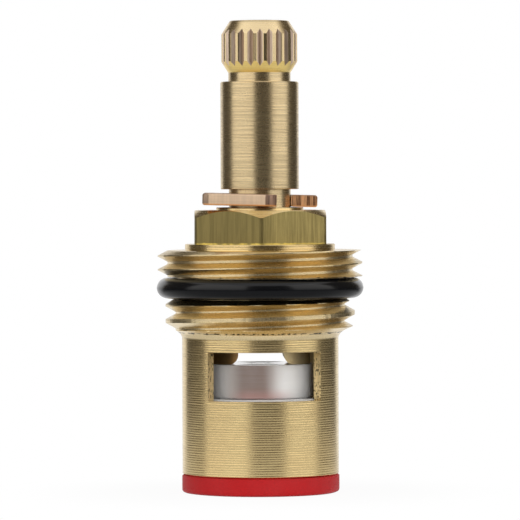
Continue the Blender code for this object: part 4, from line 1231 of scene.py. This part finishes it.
class CARTRIDGE_OT_clip(bpy.types.Operator):
    """Make the pressed copper clip that holds the spindle"""

    bl_idname = "cartridge.clip"
    bl_label = "Retaining clip"

    def execute(self, context):
        sizes = context.scene.cartridge_clip
        copper = context.scene.cartridge_finishes.copper
        piece = joined("pressed_retaining_clip", [self.strip(sizes)])
        middle = (low("retaining_clip") + high("retaining_clip")) / 2
        turned = Matrix.Rotation(sizes.turn, 4, "Z") @ Matrix.Rotation(sizes.tilt, 4, "Y")
        piece.data.transform(Matrix.Translation((sizes.shift, 0, middle)) @ turned)
        lie = (middle, sizes.tilt, sizes.thickness / 2, 0.6 * MM - sizes.width / 2)
        materials = [
            pressed_copper("rolled_copper", copper, shaded(copper, 0.72), 0.4, *lie),
            # The front arm's sheared end is darkened where the right lamp lights it, which is painted shade.
            # The side arm's end is made a brighter orange where it lies in shadow, which is painted light
            pressed_copper("sheared_copper_painted_shade", (0.40, 0.24, 0.16), (0.05, 0.03, 0.02), 1.0, *lie),
            pressed_copper("side_end_copper_painted_light", (0.88, 0.47, 0.23), (0.12, 0.045, 0.018), 1.0, *lie),
        ]
        hand_over(piece, "retaining_clip", "clip_copper", "turning_group", *materials)
        return {"FINISHED"}

    def strip(self, sizes):
        """A section carried round the bore from one arm's end to the other. Each point lies on a line from
        the rounded square, radius min(half / max(cos, sin), corner's arc), to the bore's circle."""
        along = np.linspace(0, 1, 241)
        half = sizes.width / 2
        front_mouth = math.degrees(math.asin(sizes.front_end / sizes.bore))
        side_mouth = math.degrees(math.asin(sizes.side_end / sizes.bore))
        inner_turn = np.radians(FRONT_DEG + front_mouth - (270 + front_mouth + side_mouth) * along)
        start_deg = math.degrees(math.atan2(-half, sizes.front_end))
        stop_deg = math.degrees(math.atan2(-sizes.side_end, half)) - 360
        turn = np.radians(start_deg + (stop_deg - start_deg) * along)
        toward = np.sort(np.abs(np.stack((np.cos(turn), np.sin(turn)))), axis=0)
        square = half / toward[1]
        centre = half - sizes.corner
        dot = (toward[0] + toward[1]) * centre
        rounded = dot + np.sqrt(np.maximum(dot ** 2 - 2 * centre ** 2 + sizes.corner ** 2, 0))
        outer_radius = np.where(square * toward[0] > centre, rounded, square)
        outer = np.stack((outer_radius * np.cos(turn), outer_radius * np.sin(turn)), axis=-1)
        inner = sizes.bore * np.stack((np.cos(inner_turn), np.sin(inner_turn)), axis=-1)
        across, level = self.section(sizes)
        band_share = EDGE_BAND / np.linalg.norm(outer - inner, axis=-1)[:, None]
        part = np.where(across < 0.5, across * band_share, 1 - (1 - across) * band_share)
        points = np.empty((len(along), len(across), 3))
        points[..., :2] = outer[:, None, :] + (inner - outer)[:, None, :] * part[..., None]
        points[..., 2] = level
        bent_from = sizes.front_end - sizes.shear
        back = np.clip((points[..., 0] - bent_from) / sizes.shear, 0, 1)
        front_arm = (points[..., 1] < -sizes.bore) & (points[..., 0] > 0)
        outward = np.clip(-points[..., 1] - sizes.bore, 0, None) / (half - sizes.bore)
        points[..., 1] += np.where(front_arm, sizes.shear * 0.8 * back ** 2 * outward, 0.0)
        sheared = (points[:, 0, 1] < -sizes.bore) & (points[:, 0, 0] > bent_from)
        finishes = np.where(sheared, SHEARED_END_SHADED, ROLLED)
        finishes[-2:] = SIDE_END_LIT
        return surface("clip_surface", points[:, ::-1], finishes=finishes)

    def section(self, sizes):
        """The strip's section as a loop: how far across from outer, 0, to inner, 1, and how high. Both
        halves of the way across are counted in edge bands, so that the rounding keeps its size."""
        turns = np.radians(np.linspace(0, 90, 5))
        top = sizes.thickness / 2
        bend = sizes.rounding * (1 - np.sin(turns)) / EDGE_BAND
        rise = top - sizes.rounding * (1 - np.cos(turns))
        across = np.concatenate((bend[::-1], [0.12, 0.3, 0.7, 0.88], 1 - bend))
        level = np.concatenate((rise[::-1], [top] * 4, rise))
        return np.concatenate((across, across[::-1])), np.concatenate((level, -level[::-1]))


class CARTRIDGE_OT_rubber(bpy.types.Operator):
    """Make the rubber rings, the seat seal and its stiff ring"""

    bl_idname = "cartridge.rubber"
    bl_label = "Rubber rings and seal"

    def execute(self, context):
        sizes = context.scene.cartridge_rubber
        finishes = context.scene.cartridge_finishes
        middle = (low("body_o_ring") + high("body_o_ring")) / 2
        soot = finishes.black_rubber
        black = moulded_rubber("black_rubber", soot, 0.17, 0.003, 9000.0, 0.8e-6, middle, 0.35)
        rings = [
            ("body_o_ring", sizes.body_ring_section, "cartridge_body"),
            ("spindle_o_ring_lower", sizes.stem_ring_section, "turning_group"),
            ("spindle_o_ring_upper", sizes.stem_ring_section, "turning_group"),
        ]
        for node, section, body in rings:
            piece = joined("moulded_" + node, [self.ring(node, section)], SOFT_EDGE_DEG)
            hand_over(piece, node, "black_rubber", body, black)
        red = moulded_rubber("red_rubber", finishes.red_rubber, 0.50, 0.02, 5000.0, 7e-6)
        seal = joined("moulded_seat_seal", [self.seal(sizes, context.scene.cartridge_body)])
        hand_over(seal, "seat_seal", "red_rubber", "cartridge_body", red)
        steel = turned_brass("turned_steel", finishes.steel, 0.28, 0.12 * MM, 0.15, 0.2, 3e-6)
        stiff_ring = joined("turned_backing_ring", [self.stiff_ring(sizes)])
        hand_over(stiff_ring, "seal_backing_ring", "ring_steel", "cartridge_body", steel)
        return {"FINISHED"}

    def ring(self, node, section):
        """A torus with the mould's parting line, a low ridge round the outside at half height."""
        turns = np.radians(np.linspace(90, -270, 61)[:-1])
        middle = (low(node) + high(node)) / 2
        ridge = 0.014 * MM * np.exp(-(np.degrees(turns) / 4.0) ** 2)
        radius = section / 2 - 0.016 * MM + ridge
        centre = reach(node) - section / 2
        radii = (centre + radius * np.cos(turns))[:, None]
        heights = (middle + radius * np.sin(turns))[:, None]
        return surface("ring_surface", ring_points(radii, heights, azimuths(240)), True)

    def seal(self, sizes, body):
        """The seal, turned, with edges that wander a little as moulded rubber's do."""
        degrees = azimuths(288)
        wave = sizes.moulding_wave * ripple(degrees / 360.0, 31, 9, 1)
        nick = 0.5 * sizes.moulding_wave * ripple(degrees / 360.0, 32, 50, 12)
        neck = body.skirt_radius - body.skirt_wall - FIT_GAP
        rim = body.skirt_radius + wave
        top = high("seat_seal")
        recess = sizes.seal_bore + sizes.lip_depth
        rounding = 0.12 * MM
        bulge = 0.02 * MM
        rows = rows_between(
            len(degrees),
            Corner(neck - rounding, top),
            Corner(neck, top - rounding, 5),
            Corner(neck, sizes.seal_flange, 2),
            Corner(rim - rounding, sizes.seal_flange),
            Corner(rim + bulge, sizes.seal_flange - rounding + nick * 0.3, 5),
            Corner(rim + bulge, 0.30 * MM + nick * 2),
            Corner(rim - 0.09 * MM, 0.10 * MM + np.abs(nick)),
            Corner(rim - 0.32 * MM, 0.0, 3),
            Corner(sizes.seal_bore + rounding, 0.0),
            Corner(sizes.seal_bore, rounding, 2),
            Corner(sizes.seal_bore, sizes.foot_lip, 2),
            Corner(recess, sizes.foot_lip, 3),
            Corner(recess, top - sizes.top_lip, 2),
            Corner(sizes.seal_bore, top - sizes.top_lip, 2),
            Corner(sizes.seal_bore, top - rounding),
            Corner(sizes.seal_bore + rounding, top),
        )
        return surface("seal_surface", ring_points(rows.radii, rows.heights, degrees), True)

    def stiff_ring(self, sizes):
        """A plain turned ring with chamfered ends."""
        node = "seal_backing_ring"
        outer, inner = reach(node), reach(node) - sizes.ring_wall
        foot, top = low(node), high(node)
        edge = 0.08 * MM
        degrees = azimuths(180)
        rows = rows_between(
            len(degrees),
            Corner(outer - edge, top),
            Corner(outer, top - edge, 3),
            Corner(outer, foot + edge),
            Corner(outer - edge, foot),
            Corner(inner + edge, foot),
            Corner(inner, foot + edge, 3),
            Corner(inner, top - edge),
            Corner(inner + edge, top),
        )
        return surface("stiff_ring_surface", ring_points(rows.radii, rows.heights, degrees), True)


class CARTRIDGE_OT_discs(bpy.types.Operator):
    """Make the two ceramic discs with their ports, and the thrust washer"""

    bl_idname = "cartridge.discs"
    bl_label = "Discs and washer"

    def execute(self, context):
        sizes = context.scene.cartridge_discs
        body = context.scene.cartridge_body
        finishes = context.scene.cartridge_finishes
        joint = low("upper_ceramic_disc") - sizes.wear
        clean = lapped_ceramic("lapped_ceramic", finishes.ceramic, 0.0)
        # The upper disc's ceramic carries painted reflection and painted shade tints on its rim
        painted_tint = lapped_ceramic("rubbed_ceramic", finishes.ceramic, 1.0, joint)
        polished = polished_ceramic("polished_ceramic", finishes.ceramic)
        radius = reach("upper_ceramic_disc") + sizes.upper_rim
        top = high("upper_ceramic_disc") - sizes.lapping
        upper = self.disc(sizes, joint, top, radius, radius - sizes.notch_depth, sizes.notch_width)
        upper.transform(Matrix.Rotation(context.scene.cartridge_spindle.driver_turn, 4, "Z"))
        piece = joined("lapped_upper_disc", [upper])
        hand_over(piece, "upper_ceramic_disc", "white_ceramic", "turning_group", painted_tint, polished)
        foot, top = low("lower_ceramic_disc"), high("lower_ceramic_disc") - sizes.wear
        radius = body.skirt_radius - body.skirt_wall - FIT_GAP
        lower = self.disc(sizes, foot, top, radius, reach("lower_ceramic_disc"), sizes.key_width)
        piece = joined("lapped_lower_disc", [lower])
        hand_over(piece, "lower_ceramic_disc", "white_ceramic", "cartridge_body", clean, polished)
        acetal = moulded_acetal("moulded_acetal", finishes.acetal)
        piece = joined("moulded_thrust_washer", [self.washer(body)])
        hand_over(piece, "thrust_washer", "white_acetal", "cartridge_body", acetal)
        return {"FINISHED"}

    def disc(self, sizes, foot, top, radius, key_radius, key_width):
        """A keyed disc. Rows run out over the top face, down the rim and in under the lower face. Between
        the ports' far side and the rim the rows blend from a circle to the keyed outline."""
        half_port = math.degrees(sizes.port_half_angle)
        degrees = azimuths(180, *either_side(WINDOW_CENTRES_DEG, half_port), *key_marks(radius, key_width))
        edge = sizes.chamfer
        hub_radii = np.array((0.3 * MM, sizes.port_hub, sizes.port_radius))[:, None]
        top_face, foot_face = (
            np.concatenate((
                ring_points(hub_radii, level, degrees),
                keyed_points(radius - edge, key_radius - edge, key_width, level, degrees),
            ))
            for level in (top, foot)
        )
        levels = (top - edge, (top + foot) / 2, foot + edge)
        wall = keyed_points(radius, key_radius, key_width, levels, degrees)
        points = np.concatenate((top_face, wall, foot_face[::-1]))
        last_row = len(points) - 1
        tunnels = []
        for centre in WINDOW_CENTRES_DEG:
            sides = columns_at(degrees, centre - half_port, centre + half_port)
            tunnels.append(((1, 2), (last_row - 2, last_row - 1), sides))
        finishes = np.full(len(points), POLISHED)
        finishes[3:7] = RIM
        return surface("disc_surface", points, False, finishes, tunnels, 3, POLISHED)

    def washer(self, body):
        """A flat washer, notched for the stop ribs."""
        node = "thrust_washer"
        chamber = body.skirt_radius - body.skirt_wall
        width = 2 * (chamber * math.sin(math.radians(RIB_HALF_DEG)) + 0.06 * MM)
        notch = chamber - body.rib_reach - 0.2 * MM
        outer = reach(node)
        hole = body.bore_radius + 0.06 * MM
        edge = 0.03 * MM
        top, foot = high(node), low(node)
        degrees = azimuths(180, *key_marks(outer, width))
        wall = keyed_points(outer, notch, width, (top - edge, foot + edge), degrees)
        top_face, foot_face = (
            keyed_points(outer - edge, notch - edge, width, level, degrees) for level in (top, foot)
        )
        bore = ring_points(hole, np.array((foot, top))[:, None], degrees)
        return surface("washer_surface", np.concatenate((top_face, wall, foot_face, bore)), True)


class CARTRIDGE_OT_stage(bpy.types.Operator):
    """Make the floor, the lamps, the studio and the camera"""

    bl_idname = "cartridge.stage"
    bl_label = "Studio"

    def execute(self, context):
        sizes = context.scene.cartridge_stage
        self.floor(sizes)
        self.studio(context.scene, sizes)
        self.lamp(sizes, sizes.left_azimuth, sizes.left_width, sizes.lamp_height, sizes.lamp_level)
        self.lamp(sizes, sizes.right_azimuth, sizes.right_width, sizes.lamp_height, sizes.lamp_level)
        fill = self.lamp(sizes, sizes.fill_azimuth, sizes.fill_width, sizes.fill_width, sizes.fill_level)
        fill.visible_glossy = False
        self.camera(context.scene, sizes)
        context.scene.view_settings.view_transform = "Standard"
        return {"FINISHED"}

    def floor(self, sizes):
        """A pale floor, which camera rays see as white but for a part of the object's shadow."""
        half, level = 3.0, -0.02 * MM
        corners = [(x * half, y * half, level) for x, y in ((-1, -1), (1, -1), (1, 1), (-1, 1))]
        mesh = bpy.data.meshes.new("studio_floor")
        mesh.from_pydata(corners, [], [(0, 1, 2, 3)])
        floor = bpy.data.objects.new("studio_floor", mesh)
        bpy.context.scene.collection.objects.link(floor)
        material = bpy.data.materials.new("studio_floor")
        material.use_nodes = True
        tree = material.node_tree
        tree.nodes.clear()
        x, y, _ = place(tree).parted()
        away = off_axis(x, y)
        sectors = studio_sectors(tree, x=x, y=y)
        pale = away.mapped(0.06, 0.16, sizes.floor_level, sizes.dark_level, smooth=True)
        plinth = away.mapped(0.013, 0.028, 1.0, 0.0, smooth=True)
        mirrored = largest(pale, plinth, sectors["Lamps"] * sizes.lamp_floor_level, sectors["Behind"])
        camera, mirror = rays(tree)
        strength = largest(mirrored * mirror, camera)
        shade = away.mapped(0.010, 0.030, sizes.floor_shade, 0.0, smooth=True)
        clear = largest(camera * (1.0 - shade), mirror)
        plain = Value(add(tree, "ShaderNodeBsdfDiffuse", {"Color": (0.86, 0.86, 0.86)}))
        white = Value(add(tree, "ShaderNodeEmission", {"Color": (1.0, 1.0, 1.0), "Strength": strength}))
        mix = Value(add(tree, "ShaderNodeMixShader", {0: clear, 1: plain, 2: white}))
        add(tree, "ShaderNodeOutputMaterial", {"Surface": mix})
        mesh.materials.append(material)

    def studio(self, scene, sizes):
        """White behind and overhead, dark at the sides and behind the camera, as polished metal shows them.
        Camera rays see plain white, and what lights the object is an even level."""
        world = bpy.data.worlds.new("white_studio")
        world.use_nodes = True
        scene.world = world
        tree = world.node_tree
        tree.nodes.clear()
        x, y, z = Value(add(tree, "ShaderNodeTexCoord"), "Generated").parted()
        sectors = studio_sectors(tree, x=x, y=y)
        overhead = z.mapped(0.66, 0.78, smooth=True)
        behind = sectors["Behind"] * z.mapped(0.42, 0.30, smooth=True)
        white = largest(behind, sectors["Lamps"] * 0.5, overhead)
        level = white.mapped(0.0, 1.0, sizes.dark_level, 1.0)
        camera, mirror = rays(tree)
        strength = largest(mirror * level + (1.0 - mirror) * sizes.room_level, camera)
        bright = largest(white * mirror, 1.0 - mirror)
        tint = bright.between((1.0, 0.86, 0.66), (1.0, 1.0, 1.0))
        back = Value(add(tree, "ShaderNodeBackground", {"Color": tint, "Strength": strength}))
        add(tree, "ShaderNodeOutputWorld", {"Surface": back})

    def lamp(self, sizes, azimuth, width, height, level):
        """A soft lamp that stands on the floor round the object and faces the axis."""
        light = bpy.data.lights.new("soft_lamp", "AREA")
        light.shape = "RECTANGLE"
        light.size = width
        light.size_y = height
        light.energy = math.pi * width * height * level
        lamp = bpy.data.objects.new("soft_lamp", light)
        turn = math.radians(FRONT_DEG) + azimuth
        away = Vector((math.cos(turn), math.sin(turn), 0.0)) * sizes.lamp_distance
        lamp.location = away + Vector((0, 0, height / 2 + 0.01))
        lamp.rotation_euler = (-away).to_track_quat("-Z", "Y").to_euler()
        bpy.context.scene.collection.objects.link(lamp)
        return lamp

    def camera(self, scene, sizes):
        """A long lens a little above the cartridge's middle, aimed slightly down."""
        lens = bpy.data.cameras.new("camera")
        lens.lens = sizes.focal_length
        lens.sensor_width = 36.0
        camera = bpy.data.objects.new("camera", lens)
        turn = math.radians(FRONT_DEG) + sizes.azimuth
        away = Vector((math.cos(turn), math.sin(turn), 0.0)) * sizes.distance
        eye = away + Vector((0, 0, sizes.eye_height))
        look = (Vector((0, 0, sizes.aim_height)) - eye).to_track_quat("-Z", "Y").to_matrix().to_4x4()
        camera.matrix_world = Matrix.Translation(eye) @ look @ Matrix.Rotation(-sizes.roll, 4, "Z")
        scene.collection.objects.link(camera)
        scene.camera = camera


class CARTRIDGE_PT_panel(bpy.types.Panel):
    """Sizes, finishes and makers of the cartridge"""

    bl_idname = "CARTRIDGE_PT_panel"
    bl_label = "Disc Tap Cartridge"
    bl_space_type = "VIEW_3D"
    bl_region_type = "UI"
    bl_category = "Cartridge"

    def draw(self, context):
        layout = self.layout
        for operator in MAKERS:
            layout.operator(operator.bl_idname)
        for name, group in GROUPS:
            box = layout.box()
            box.label(text=group.__doc__)
            for title in group.__annotations__:
                box.prop(getattr(context.scene, name), title)


GROUPS = (
    ("cartridge_body", BodySizes),
    ("cartridge_spindle", SpindleSizes),
    ("cartridge_clip", ClipSizes),
    ("cartridge_rubber", RubberSizes),
    ("cartridge_discs", DiscSizes),
    ("cartridge_finishes", Finishes),
    ("cartridge_stage", StageSizes),
)
MAKERS = (
    CARTRIDGE_OT_body,
    CARTRIDGE_OT_spindle,
    CARTRIDGE_OT_clip,
    CARTRIDGE_OT_rubber,
    CARTRIDGE_OT_discs,
    CARTRIDGE_OT_stage,
)


def register():
    for name, group in GROUPS:
        bpy.utils.register_class(group)
        setattr(bpy.types.Scene, name, PointerProperty(type=group))
    for maker in (*MAKERS, CARTRIDGE_PT_panel):
        bpy.utils.register_class(maker)


def unregister():
    for maker in reversed((*MAKERS, CARTRIDGE_PT_panel)):
        bpy.utils.unregister_class(maker)
    for name, group in reversed(GROUPS):
        delattr(bpy.types.Scene, name)
        bpy.utils.unregister_class(group)


def main():
    register()
    bpy.ops.cartridge.body()
    bpy.ops.cartridge.spindle()
    bpy.ops.cartridge.clip()
    bpy.ops.cartridge.rubber()
    bpy.ops.cartridge.discs()
    bpy.ops.cartridge.stage()


if __name__ == "__main__":
    main()
